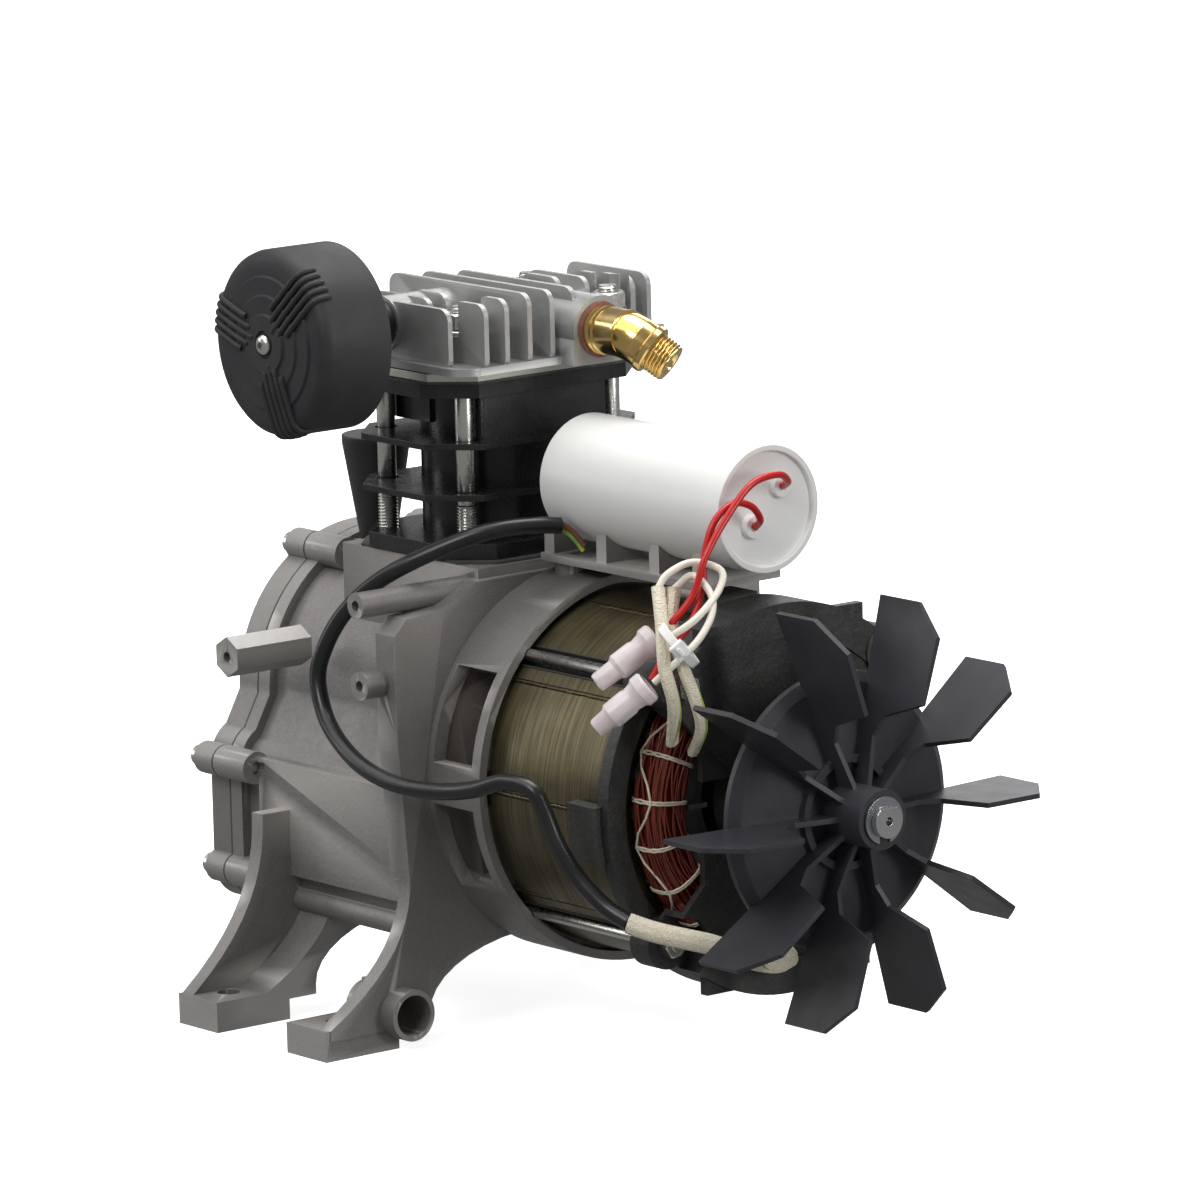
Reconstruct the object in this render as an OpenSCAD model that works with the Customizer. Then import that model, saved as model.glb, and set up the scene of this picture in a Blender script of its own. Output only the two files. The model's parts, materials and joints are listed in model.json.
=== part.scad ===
// Direct-drive piston air pump: one oil-lubricated cylinder on a die-cast crankcase,
// driven by an open capacitor-run motor whose far shaft end carries a cooling fan.
// X runs along the shaft towards the fan, Z is up, and the origin is the middle of
// the four foot holes on the base plane.

/* [Base] */
// Height of the shaft above the base
shaft_z = 102; // [98:1:108]
// Distance between foot holes along the shaft
foot_pitch_x = 70; // [66:1:74]
// Distance between foot holes across the shaft
foot_pitch_y = 226; // [222:1:230]
// Radius of a foot hole
foot_hole_r = 4.5; // [3.5:0.25:5]

/* [Pump] */
// Cylinder bore radius
bore_r = 26; // [25.5:0.25:26.5]
// Crank throw, half of the stroke
throw = 14; // [12:0.5:15]
// Distance between the rod's eyes
rod_length = 80; // [78:1:82]
// Thickness of a piston ring
ring_h = 2; // [1.5:0.25:2]

/* [Head] */
// Thickness of a head fin
fin_t = 2.2; // [1.8:0.2:2.6]
// Turn of the outlet elbow about its inlet, towards the far side
outlet_turn = 38; // [0:1:90]
// Radius over the outlet thread
outlet_r = 8; // [6.5:0.25:8.5]

/* [Filter] */
// Radius of the intake filter
filter_r = 36; // [34:0.5:38]
// Depth of the intake filter
filter_d = 32; // [30:1:34]

/* [Motor] */
// Outer radius of the stator core
stator_r = 70; // [69:0.5:70]
// Bore radius of the stator core
stator_bore = 40; // [39:0.5:41]
// Air gap between rotor and stator
air_gap = 0.6; // [0.5:0.1:1]
// Outer radius of the cast ring that holds the stator
bell_r = 76; // [75:0.5:77]
// Half the spacing of the tie bolts
tie_at = 50; // [49.5:0.25:50.5]

/* [Fan] */
// Fan radius
fan_r = 82.5; // [80:0.5:84]
// Number of fan blades
fan_blades = 10; // [8:1:12]
// Angle of the first blade from straight up
fan_turn = 18; // [0:1:35]

/* [Capacitor] */
// Radius of the capacitor can
cap_r = 24.5; // [23:0.5:25]
// Length of the capacitor
cap_len = 108; // [100:1:110]

/* [Hidden] */
$fn = 48;

alloy = [0.62, 0.61, 0.60];
iron = [0.10, 0.10, 0.11];
zinc = [0.75, 0.76, 0.78];
steel = [0.70, 0.71, 0.73];
brass = [0.80, 0.62, 0.25];
black = [0.06, 0.06, 0.07];
paper = [0.45, 0.36, 0.25];

// Crankcase
case_top_r = 57;
case_top_z = 117;
case_half = 72;
case_hip_z = 90;
case_x0 = -80;
case_x1 = 38;
case_floor = 38;
wall = 5;
plate_x0 = 36;
plate_x1 = 48;
plate_half = 90;
bell_x1 = 80;
bell_wall = 3.5;
deck_z = 180;
deck_x = 42;
deck_y = 46;
foot_h = 12;
foot_w = 25;
foot_in = 93;
foot_out = 128;
tube_y = 92;
tube_z = 14;
tube_r = 10;
tube_bore = 8;
shroud_y = -100;
shroud_hole_r = 2.1;
cover_t = 12;
breather_x = -61;
breather_y = -14;
glass_z = 74;
drain_z = 50;
gasket_t = 1;
cover_screw_at = [[-30, 171], [30, 171], [-78, 92], [78, 92], [-74, 48], [74, 48]];

// Cylinder and head
stud_x = 25;
stud_y = 36;
stud_r = 4;
stud_hole_r = 4.5;
cyl_z0 = deck_z + gasket_t;
cyl_z1 = 250;
fin_z = [204, 224];
fin_x = 36;
fin_y = 52;
fin_cut = 16;
cyl_wall = 4.5;
spigot_z = 170;
plate_t = 3;
valve_z = cyl_z1 + gasket_t;
head_z0 = valve_z + plate_t + gasket_t;
head_base = 3;
head_x0 = -38;
head_x1 = 47;
head_y = 54;
head_corner = 10;
nut_seat = 268;
outlet_y = 8;
outlet_z = 268;
outlet_x = 55;
filter_x = 5;
filter_y = -114;
filter_z = 271;
neck_x = -4;
neck_y0 = -52;
// Head fins: place across the shaft, ends along it, and height of the top
fin_rows = [[-50, -34, 36, 280], [-41, -34, 13, 281], [-41, 27, 47, 282], [-33, -8, 13, 282],
    [-31, 30, 47, 283], [-20, -40, 47, 284], [-9, -34, 47, 284], [2, -26, 47, 284], [14, 0, 23, 284],
    [26, -11, 25, 283], [36, 5, 27, 283], [43, 10, 32, 282], [50, -17, 33, 283]];

// Moving parts, drawn with the crank pin at its lowest
pin_z = shaft_z - throw;
wrist_z = pin_z + rod_length;
crown_z = cyl_z1 - 0.6 - 2 * throw;
crown_t = 8;
piston_r = bore_r - 0.5;
skirt_r = 23.2;
skirt_z = 160;
pin_r = 9;
bush_r = 11.5;
web_x0 = 10;
web_x1 = 20;
wrist_r = 5;

// Shaft and bearings
main_x = 27;
main_w = 14;
main_r = 23.5;
shaft_r = 10;
rotor_x0 = 74;
rotor_x1 = 146;
rotor_shaft_r = 12;
fan_brg_x = 160;
fan_brg_w = 12;
fan_brg_r = 20;
fan_seat_r = 8.5;
tail_r = 6.5;
shaft_end = 231;

// Stator and end bell
stator_x0 = 72;
stator_x1 = 148;
slots = 24;
slot_w = 5;
slot_r0 = 43;
slot_r1 = 58;
bell_front = 172;
web_front = 170.3;
hub_x0 = 158.5;
low_pad_x = 160;
tie_r = 2.5;

// Fan
fan_x = 210;
hub_r = 11.5;
hub_x1 = 227;
disc_r = 53;
disc_x = 203;
blade_t = 2;

// Capacitor
cap_x0 = 56;
cap_z = 212;
cap_leads = [[7, 220], [-7, 206]];

// Routes of the leads, from their first end to their last
power_d = 6.6;
power_route = [[163, -71, 64], [155, -74, 68], [148, -77, 74], [141, -80, 82], [135, -83, 93],
    [131, -85, 104], [126, -87, 112], [113, -90, 113], [100, -93, 109], [84, -95, 106],
    [68, -97, 105], [51, -98, 106], [34, -98, 110], [18, -96, 117], [7, -94, 126], [1, -92, 139],
    [4, -90, 151], [11, -87, 163], [21, -82, 174], [33, -75, 183], [47, -61, 192], [57, -48, 197],
    [64, -34, 198], [68, -24, 197]];
lead_d = 2.8;
red_far = [[164.5, 7, 220], [171, 4, 223], [175, -4, 227], [176, -18, 225], [176, -31, 213],
    [176, -41, 200], [175, -46, 187], [171, -53, 177], [165.5, -58, 170]];
red_near = [[164.5, -7, 206], [170, -9, 210], [172, -15, 216], [172, -24, 218], [172, -33, 212],
    [172, -38, 200], [173, -40, 189], [177, -49, 177], [175, -59, 167], [172.5, -65, 157]];
white_far = [[168, -57, 168], [174, -57, 172], [181, -50, 179], [181, -39, 188], [178, -35, 195],
    [170, -42, 198], [165, -50, 194], [164, -54, 189]];
white_near = [[174, -65, 156], [181, -58, 165], [184, -51, 172], [183, -44, 180], [179, -41, 187],
    [170, -42, 193], [165, -47, 188]];
sleeve_d = 5.4;
sleeve_far = [[164, -54, 189], [172, -59, 176], [178, -63, 162], [179, -60, 148], [169, -53, 131]];
sleeve_near = [[165, -47, 188], [169, -52, 177], [178, -55, 163], [182, -52, 149], [179, -47, 137],
    [170, -44, 126]];
motor_sleeve_d = 8;
motor_sleeve_route = [[164, -72, 64], [172, -66, 61], [178, -57, 58], [181, -45, 54], [181, -30, 47],
    [179, -14, 42], [177, -4, 43]];
connector_far = [[166, -57, 171], [156, -78, 155]];
connector_near = [[172, -66, 155], [160, -82, 139]];
tie_point = [174, -55, 168];

// Lay a flat shape in the YZ plane and extrude it along X
module along_x(x0, length) {
    translate([x0, 0, 0]) rotate([90, 0, 90]) linear_extrude(length) children();
}

// A round bar along X
module bar_x(x0, length, r, y = 0, z = shaft_z) {
    translate([x0, y, z]) rotate([0, 90, 0]) cylinder(h = length, r = r);
}

// A round bar along Y
module bar_y(y0, length, r, x = 0, z = 0) {
    translate([x, y0 + length, z]) rotate([90, 0, 0]) cylinder(h = length, r = r);
}

// A ring about the shaft
module ring_x(x0, length, r1, r0) {
    difference() {
        bar_x(x0, length, r1);
        bar_x(x0 - 1, length + 2, r0);
    }
}

// A rectangle with round corners, from its two opposite corners
module round_rect(a, b, r) {
    translate([a[0] + r, a[1]]) square([b[0] - a[0] - 2 * r, b[1] - a[1]]);
    translate([a[0], a[1] + r]) square([b[0] - a[0], b[1] - a[1] - 2 * r]);
    for (u = [a[0] + r, b[0] - r], v = [a[1] + r, b[1] - r]) translate([u, v]) circle(r);
}

// A block with cut vertical corners, centred in X and Y
module cut_block(half_x, half_y, cut, z0, h) {
    translate([0, 0, z0]) linear_extrude(h) polygon([
        [half_x, half_y - cut], [half_x - cut, half_y], [cut - half_x, half_y],
        [-half_x, half_y - cut], [-half_x, cut - half_y], [cut - half_x, -half_y],
        [half_x - cut, -half_y], [half_x, cut - half_y]]);
}

// Put a child at each of the four studs
module at_studs() {
    for (x = [-stud_x, stud_x], y = [-stud_y, stud_y]) translate([x, y, 0]) children();
}

// Put a child at each of the four tie bolts, in the plane x = 0
module at_ties() {
    for (y = [-tie_at, tie_at], z = [-tie_at, tie_at]) translate([0, y, shaft_z + z]) children();
}

// The outline of the crank chamber, round over the crank and wide at the sump, inset all round
module case_outline(inset) {
    top = case_top_r - inset;
    hip = case_half - inset;
    translate([0, case_top_z]) circle(top);
    polygon([[-top, case_top_z], [top, case_top_z], [hip, case_hip_z], [-hip, case_hip_z]]);
    round_rect([-hip, case_floor + inset], [hip, case_hip_z + 12 - inset], 11 - min(inset, 0));
}

// A curve that leaves one point level or upright and reaches the other
function bend(a, b) = [for (t = [0:10:90]) [a[0] + (b[0] - a[0]) * sin(t), a[1] + (b[1] - a[1]) * (1 - cos(t))]];
function splay(a, b) = [for (t = [0:0.1:1]) [a[0] + (b[0] - a[0]) * pow(t, 2.3), a[1] + (b[1] - a[1]) * t]];
function back(v) = [for (i = [len(v) - 1:-1:0]) v[i]];

// One half of a leg plate: outside it splays to the foot, inside it arches over the gap
module leg_outline(hip, hip_z, foot_y, arch_y) {
    polygon(concat([[0, hip_z]], splay([hip, hip_z], [foot_y, foot_h]),
        [[foot_y, foot_h - 4], [arch_y, foot_h - 4]], back(bend([24, 37], [arch_y, foot_h]))));
}
module both_sides() {
    children();
    mirror([1, 0]) children();
}

// Wide shoulders of the plate between crankcase and motor
module plate_outline() {
    both_sides() polygon([[0, 176], [50, 176], [66, 168], [84, 166], [plate_half, 160],
        [plate_half, 120], [86, 64], [0, 40]]);
}

// Feet with their holes and the tube sockets
module foot(side, x) {
    y0 = side > 0 ? foot_in : -foot_out;
    translate([x - foot_w / 2, y0, 0]) cube([foot_w, foot_out - foot_in, foot_h]);
}

module crankcase() {
    color(alloy) difference() {
        union() {
            along_x(case_x0, case_x1 - case_x0) case_outline(0);
            along_x(case_x0, 7) case_outline(-4);
            along_x(plate_x0, plate_x1 - plate_x0) plate_outline();
            along_x(plate_x1 - 7, 7) both_sides() leg_outline(86, 66, foot_out - 2, 78);
            along_x(foot_pitch_x / 2 - foot_w / 2, 22) both_sides() leg_outline(70, 52, 104, 80);
            along_x(-foot_pitch_x / 2 - foot_w / 2, 7) both_sides() leg_outline(90, 78, foot_out - 2, 78);
            along_x(-foot_pitch_x / 2 - foot_w / 2, foot_w) both_sides() leg_outline(70, 52, 104, 80);
            bar_x(plate_x1 - 1, bell_x1 - plate_x1 + 1, bell_r);
            translate([-deck_x, -deck_y, 140]) cube([deck_x + plate_x1 - 4, 2 * deck_y, deck_z - 140]);
            translate([breather_x, breather_y, 150]) cylinder(h = 24, r = 10);
            for (side = [-1, 1], x = [-foot_pitch_x / 2, foot_pitch_x / 2]) foot(side, x);
            for (side = [-1, 1]) bar_x(26, 30, tube_r, side * tube_y, tube_z);
            for (side = [-1, 1]) translate([30, side * tube_y - 5, tube_z]) cube([12, 10, tube_r + 2]);
            for (side = [-1, 1]) {
                translate([-60, side * (case_half + 1) - 4, 52]) cube([98, 8, 44]);
                bar_x(-66, 104, 5, side * (case_half - 1), 42);
            }
            shroud_bosses();
            for (p = cover_screw_at) bar_x(case_x0, 20, 6.5, p[0], p[1]);
            for (p = cover_screw_at) along_x(case_x0, 20) polygon([[p[0] - 6, p[1]], [p[0] * 0.7, p[1] - 14],
                [p[0] * 0.7, p[1] + 4], [p[0] + 6, p[1]]]);
            at_cradle() cylinder(h = 8, r = 6);
        }
        crank_chamber();
        motor_chamber();
        case_holes();
    }
}

// Bosses that carry the sheet-metal air shroud of the complete machine
module shroud_bosses() {
    translate([-47, shroud_y + 36, 141]) rotate([90, 30, 0]) cylinder(h = 36, r = 8, $fn = 6);
    bar_y(shroud_y, 56, 5, 37, 172);
    bar_y(shroud_y, 44, 5.5, 38, 141);
}
shroud_at = [[-47, 141], [37, 172], [38, 141]];

// The capacitor cradle's two screw pads on the bell's back
module at_cradle() {
    for (y = [-12, 12]) translate([58, y, bell_r + shaft_z - 5]) children();
}

// The space in which the crank turns, open at the cover end and up into the cylinder
module crank_chamber() {
    along_x(case_x0 - 1, web_x1 + 2.5 - case_x0) case_outline(wall);
    translate([0, 0, 120]) cylinder(h = 80, r = bore_r + 3.2);
    bar_x(main_x - 8, 10, shaft_r + 8);
    bar_x(main_x - 6, main_w + 6, main_r);
    bar_x(main_x + main_w - 0.5, 20, 17.5);
}

// The ring that holds the stator, with cooling windows on both sides
module motor_chamber() {
    difference() {
        bar_x(plate_x1 + 2, 40, bell_r - bell_wall);
        for (y = [-tie_at, tie_at], z = [-tie_at, tie_at]) {
            bar_x(plate_x1, 24, 9.5, y * 0.98, shaft_z + z * 0.98);
        }
        ring_x(plate_x1, 24, bell_r, stator_r);
    }
    for (side = [-1, 1]) {
        translate([plate_x1 + 3, side > 0 ? 55 : -90, shaft_z + 8]) cube([24, 35, 36]);
        translate([plate_x1 + 3, side > 0 ? 55 : -90, shaft_z - 42]) cube([24, 35, 34]);
    }
}

// Every drilled or threaded hole in the casting
module case_holes() {
    for (side = [-1, 1], x = [-foot_pitch_x / 2, foot_pitch_x / 2]) {
        translate([x, side * foot_pitch_y / 2, -1]) cylinder(h = foot_h + 2, r = foot_hole_r);
    }
    for (side = [-1, 1]) {
        bar_x(30, 30, tube_bore, side * tube_y, tube_z);
        translate([36, side * tube_y, tube_z]) cylinder(h = 20, r = 2.5);
    }
    for (p = shroud_at) bar_y(shroud_y - 1, 21, shroud_hole_r, p[0], p[1]);
    at_studs() translate([0, 0, deck_z - 16]) cylinder(h = 20, r = stud_r);
    for (y = [-tie_at, tie_at], z = [-tie_at, tie_at]) {
        bar_x(plate_x1 + 4, 40, tie_r, y, shaft_z + z);
    }
    for (p = cover_screw_at) bar_x(case_x0 - 1, 25, 2.5, p[0], p[1]);
    translate([breather_x, breather_y, 140]) cylinder(h = 60, r = 5);
    at_cradle() translate([0, 0, -4]) cylinder(h = 20, r = 2);
}

module cover_plate(inset, x0, t) {
    difference() {
        union() {
            along_x(x0, t) case_outline(inset);
            for (p = cover_screw_at) bar_x(x0, t, 6.5, p[0], p[1]);
        }
        for (p = cover_screw_at) bar_x(x0 - 1, t + 2, 2.8, p[0], p[1]);
    }
}

module end_cover() {
    color(alloy) difference() {
        union() {
            cover_plate(-4, case_x0 - gasket_t - cover_t, cover_t);
            along_x(case_x0 - gasket_t - cover_t - 5, 6) case_outline(8);
        }
        bar_x(case_x0 - 30, 60, 11, 0, glass_z);
        bar_x(case_x0 - 30, 60, 6, 0, drain_z);
        along_x(case_x0 - gasket_t - cover_t + 2, 20) difference() {
            case_outline(wall + 4);
            translate([0, glass_z]) circle(16);
            translate([0, drain_z]) circle(10);
        }
    }
}

module cover_gasket() {
    color(paper) difference() {
        cover_plate(-4, case_x0 - gasket_t, gasket_t);
        along_x(case_x0 - 5, 10) case_outline(wall);
    }
}

module cover_screws() {
    x0 = case_x0 - gasket_t - cover_t;
    color(zinc) for (p = cover_screw_at) difference() {
        union() {
            bar_x(x0 - 5, 5, 4.2, p[0], p[1]);
            bar_x(x0 - 1, 32, 2.4, p[0], p[1]);
        }
        translate([x0 - 6, p[0], p[1]]) rotate([0, 90, 0]) cylinder(h = 4, r = 2.3, $fn = 6);
    }
}

module oil_sight_glass() {
    x0 = case_x0 - gasket_t - cover_t - 5;
    color([0.8, 0.85, 0.7]) union() {
        bar_x(x0, 14, 10.9, 0, glass_z);
        bar_x(x0 - 3, 3, 13, 0, glass_z);
    }
}

module drain_plug() {
    x0 = case_x0 - gasket_t - cover_t - 5;
    color(zinc) union() {
        bar_x(x0, 14, 5.9, 0, drain_z);
        translate([x0 - 5, 0, drain_z]) rotate([0, 90, 0]) cylinder(h = 5, r = 7.5, $fn = 6);
    }
}

module breather_plug() {
    color(black) union() {
        translate([breather_x, breather_y, 162]) cylinder(h = 14, r = 4.9);
        translate([breather_x, breather_y, 174]) cylinder(h = 40, r1 = 7, r2 = 13.5);
        translate([breather_x, breather_y, 214]) cylinder(h = 3, r = 13.5);
    }
}

module cylinder_base_gasket() {
    color(paper) difference() {
        cut_block(deck_x, deck_y, 12, deck_z, gasket_t);
        translate([0, 0, deck_z - 1]) cylinder(h = 4, r = bore_r + 3.2);
        at_studs() translate([0, 0, deck_z - 1]) cylinder(h = 4, r = stud_hole_r);
    }
}

module cylinder_barrel() {
    color(iron) difference() {
        union() {
            translate([0, 0, spigot_z]) cylinder(h = cyl_z1 - spigot_z, r = bore_r + 3);
            translate([0, 0, cyl_z0]) cylinder(h = cyl_z1 - cyl_z0, r = bore_r + cyl_wall);
            cut_block(deck_x - 4, deck_y + 2, fin_cut, cyl_z0, 6);
            for (z = fin_z) cut_block(fin_x, fin_y, fin_cut, z, 2.5);
            cut_block(fin_x - 1, fin_y, fin_cut, cyl_z1 - 6, 6);
            translate([14, -32, fin_z[1]]) cube([18, 60, cyl_z1 - fin_z[1] - 3]);
            translate([-32, -32, fin_z[1] + 6]) cube([30, 40, cyl_z1 - fin_z[1] - 9]);
        }
        translate([0, 0, spigot_z - 1]) cylinder(h = 100, r = bore_r);
        at_studs() translate([0, 0, cyl_z0 - 1]) cylinder(h = 100, r = stud_hole_r);
    }
}

// A flat sheet between cylinder and head, with its stud holes and port windows
module head_sheet(z0, t) {
    difference() {
        cut_block(fin_x + 1, fin_y, fin_cut - 2, z0, t);
        at_studs() translate([0, 0, z0 - 1]) cylinder(h = t + 2, r = stud_hole_r);
        children();
    }
}

module valve_plate() {
    color(steel) head_sheet(valve_z, plate_t) {
        for (y = [-16, -10]) translate([-6, y, valve_z - 1]) cylinder(h = 10, r = 2.5);
        for (y = [10, 16]) translate([6, y, valve_z - 1]) cylinder(h = 10, r = 2.5);
        translate([-11, -22, valve_z - 0.1]) cube([22, 20, 0.5]);
        translate([-11, 2, valve_z + plate_t - 0.4]) cube([22, 20, 0.5]);
    }
}

module reed_valves() {
    color(steel) union() {
        translate([-10.5, -21.5, valve_z]) cube([21, 19, 0.35]);
        translate([-10.5, 2.5, valve_z + plate_t - 0.35]) cube([21, 19, 0.35]);
    }
}

module lower_head_gasket() {
    color(paper) head_sheet(cyl_z1, gasket_t) {
        translate([0, 0, cyl_z1 - 1]) cylinder(h = 4, r = bore_r);
    }
}

module upper_head_gasket() {
    color(paper) head_sheet(valve_z + plate_t, gasket_t) {
        translate([-22, -26, valve_z]) cube([44, 24, 10]);
        translate([-22, 2, valve_z]) cube([44, 24, 10]);
    }
}

// A head fin along X with round top corners, from x0 to x1
module head_fin(y, x0, x1, top) {
    translate([0, y + fin_t / 2, 0]) rotate([90, 0, 0]) linear_extrude(fin_t)
        round_rect([x0, head_z0 + 1], [x1, top], 5);
}

module cylinder_head() {
    color(alloy) difference() {
        union() {
            translate([0, 0, head_z0]) linear_extrude(head_base)
                round_rect([head_x0, -head_y], [head_x1, head_y], head_corner);
            translate([-20, -26, head_z0 + 1]) cube([46, 52, 14]);
            at_studs() translate([0, 0, head_z0 + 1]) cylinder(h = nut_seat - head_z0 - 1, r = 7);
            bar_x(10, outlet_x - 10, 13, outlet_y, outlet_z);
            translate([10, outlet_y - 13, head_z0]) cube([outlet_x - 10, 26, 10]);
            bar_y(neck_y0, 34, 10.5, neck_x, filter_z);
            for (f = fin_rows) head_fin(f[0], f[1], f[2], f[3]);
            translate([-8, 50, head_z0]) cube([30, 16, 5]);
        }
        translate([-62, -72, head_z0 - 20]) cube([144, 144, 20]);
        translate([-17, -23, head_z0 - 1]) cube([38, 22, 13]);
        translate([-17, 2, head_z0 - 1]) cube([38, 21, 13]);
        bar_x(15, 60, outlet_r, outlet_y, outlet_z);
        bar_y(neck_y0 - 1, 36, 8, neck_x, filter_z);
        at_studs() translate([0, 0, head_z0 - 1]) cylinder(h = 60, r = stud_hole_r);
        at_studs() translate([0, 0, nut_seat]) cylinder(h = 40, r = 8.5);
    }
}

module head_studs() {
    color(zinc) at_studs() translate([0, 0, deck_z - 15]) cylinder(h = nut_seat + 11 - deck_z + 15, r = stud_r - 0.05);
}

module head_nuts() {
    color(zinc) at_studs() translate([0, 0, nut_seat + 2]) difference() {
        cylinder(h = 6.5, r = 7.4, $fn = 6);
        translate([0, 0, -1]) cylinder(h = 10, r = stud_r);
    }
}

module head_washers() {
    color(zinc) at_studs() translate([0, 0, nut_seat]) difference() {
        cylinder(h = 2, r = 8);
        translate([0, 0, -1]) cylinder(h = 10, r = stud_r + 0.3);
    }
}

// Tube that joins the filter to the head's inlet
module inlet_neck() {
    color(black) difference() {
        union() {
            bar_y(filter_y + filter_d, neck_y0 - filter_y - filter_d, 9, neck_x, filter_z);
            bar_y(neck_y0 - 1, 14, 7.9, neck_x, filter_z);
        }
        bar_y(filter_y + 10, 100, 5.5, neck_x, filter_z);
    }
}

module filter_base() {
    y1 = filter_y + filter_d;
    color(black) difference() {
        bar_y(y1 - 6, 6, filter_r - 2.5, filter_x, filter_z);
        bar_y(y1 - 10, 20, 5.5, neck_x, filter_z);
        bar_y(y1 - 10, 20, 2.2, filter_x, filter_z);
        for (a = [20:40:340]) translate([filter_x, 0, filter_z]) rotate([0, a, 0]) bar_y(y1 - 10, 20, 3, 24, 0);
    }
}

module filter_element() {
    color([0.85, 0.84, 0.78]) difference() {
        bar_y(filter_y + 4, filter_d - 11, filter_r - 5, filter_x, filter_z);
        bar_y(filter_y, filter_d, 14, filter_x, filter_z);
    }
}

module filter_cover() {
    color(black) difference() {
        union() {
            bar_y(filter_y, filter_d, filter_r, filter_x, filter_z);
            bar_y(filter_y - 1.2, 2, filter_r - 3, filter_x, filter_z);
        }
        bar_y(filter_y + 3, filter_d, filter_r - 2, filter_x, filter_z);
        bar_y(filter_y - 5, 20, 2.6, filter_x, filter_z);
    }
}

module filter_screw() {
    color(zinc) union() {
        bar_y(filter_y - 4, 2.8, 4, filter_x, filter_z);
        bar_y(filter_y - 2, filter_d + 1, 2.2, filter_x, filter_z);
    }
}

module outlet_seal_ring() {
    color([0.55, 0.30, 0.12]) difference() {
        bar_x(outlet_x, 1.2, 11, outlet_y, outlet_z);
        bar_x(outlet_x - 1, 4, 8, outlet_y, outlet_z);
    }
}

module outlet_elbow() {
    turn_x = outlet_x + 18;
    color(brass) difference() {
        union() {
            bar_x(outlet_x - 12, 14, outlet_r - 0.1, outlet_y, outlet_z);
            bar_x(outlet_x + 1.2, 17, 9.5, outlet_y, outlet_z);
            translate([turn_x, outlet_y, outlet_z]) rotate([outlet_turn, 0, 0]) {
                sphere(r = 10);
                rotate([0, 135, 0]) cylinder(h = 11, r = 9.5);
                rotate([0, 135, 0]) cylinder(h = 20, r = outlet_r);
            }
        }
        bar_x(outlet_x - 20, 38, 4.5, outlet_y, outlet_z);
        translate([turn_x, outlet_y, outlet_z]) rotate([outlet_turn, 0, 0]) {
            sphere(r = 5);
            rotate([0, 135, 0]) cylinder(h = 30, r = 4.5);
        }
    }
}

module crankshaft() {
    color(steel) difference() {
        union() {
            bar_x(web_x1, 60 - web_x1, shaft_r);
            bar_x(60, 98, rotor_shaft_r);
            bar_x(158, 16, fan_seat_r);
            bar_x(174, shaft_end - 174, tail_r);
        }
        ring_x(hub_x1, 1.3, tail_r + 2, tail_r - 0.8);
        translate([hub_x1 + 1.3, -10, shaft_z + tail_r - 1.6]) cube([10, 20, 5]);
        bar_x(shaft_end - 5, 10, 1.6);
    }
}

// Web with its counterweight on one side and the crank pin on the other
module crank_web() {
    color(iron) difference() {
        union() {
            along_x(web_x0, web_x1 - web_x0) {
                intersection() {
                    translate([0, shaft_z]) circle(38);
                    translate([-40, shaft_z]) square([80, 50]);
                }
                translate([0, shaft_z]) circle(19);
                translate([0, pin_z]) circle(14);
            }
            bar_x(-9, 20, pin_r, 0, pin_z);
        }
        bar_x(-12, 18, 3, 0, pin_z);
    }
}

module crank_pin_bolt() {
    color(zinc) union() {
        bar_x(-9, 14, 2.9, 0, pin_z);
        bar_x(-11, 2, 12, 0, pin_z);
        translate([-16, 0, pin_z]) rotate([0, 90, 0]) cylinder(h = 5, r = 6.5, $fn = 6);
    }
}

// Ball bearing pieces about the shaft: grooves clear the balls all round
module race_inner(x0, w, bore, ball_at, ball) {
    difference() {
        ring_x(x0, w, ball_at - ball * 0.55, bore);
        translate([x0 + w / 2, 0, shaft_z]) rotate([0, 90, 0]) rotate_extrude() translate([ball_at, 0]) circle(ball + 0.15);
    }
}
module race_outer(x0, w, outside, ball_at, ball) {
    difference() {
        ring_x(x0, w, outside, ball_at + ball * 0.55);
        translate([x0 + w / 2, 0, shaft_z]) rotate([0, 90, 0]) rotate_extrude() translate([ball_at, 0]) circle(ball + 0.3);
    }
}
module race_balls(x0, w, ball_at, ball, count) {
    for (k = [0:count - 1]) translate([x0 + w / 2, 0, shaft_z]) rotate([k * 360 / count, 0, 0])
        translate([0, 0, ball_at]) sphere(r = ball);
}

module main_bearing_inner() { color(steel) race_inner(main_x, main_w, shaft_r, 16.75, 4); }
module main_bearing_balls() { color(zinc) race_balls(main_x, main_w, 16.75, 4, 8); }
module main_bearing_outer() { color(steel) race_outer(main_x, main_w, main_r, 16.75, 4); }
module fan_bearing_inner() { color(steel) race_inner(fan_brg_x, fan_brg_w, fan_seat_r, 14.25, 3.4); }
module fan_bearing_balls() { color(zinc) race_balls(fan_brg_x, fan_brg_w, 14.25, 3.4, 8); }
module fan_bearing_outer() { color(steel) race_outer(fan_brg_x, fan_brg_w, fan_brg_r, 14.25, 3.4); }

module shaft_seal() {
    color(black) ring_x(main_x + main_w, 7, 17.5, shaft_r + 0.3);
}

module connecting_rod() {
    color(alloy) difference() {
        union() {
            bar_x(-8, 16, 17, 0, pin_z);
            bar_x(-6.5, 13, 7.2, 0, wrist_z);
            translate([-5, -6, pin_z]) cube([10, 12, rod_length]);
            translate([-3, -2.5, pin_z - 34]) cube([6, 5, 20]);
        }
        bar_x(-20, 40, bush_r, 0, pin_z);
        bar_x(-20, 40, wrist_r, 0, wrist_z);
        for (x = [-6, 3.5]) translate([x, -3.5, pin_z + 20]) cube([2.5, 7, rod_length - 34]);
    }
}

module big_end_bush() {
    color(brass) difference() {
        bar_x(-8, 16, bush_r, 0, pin_z);
        bar_x(-10, 20, pin_r + 0.05, 0, pin_z);
    }
}

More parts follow.
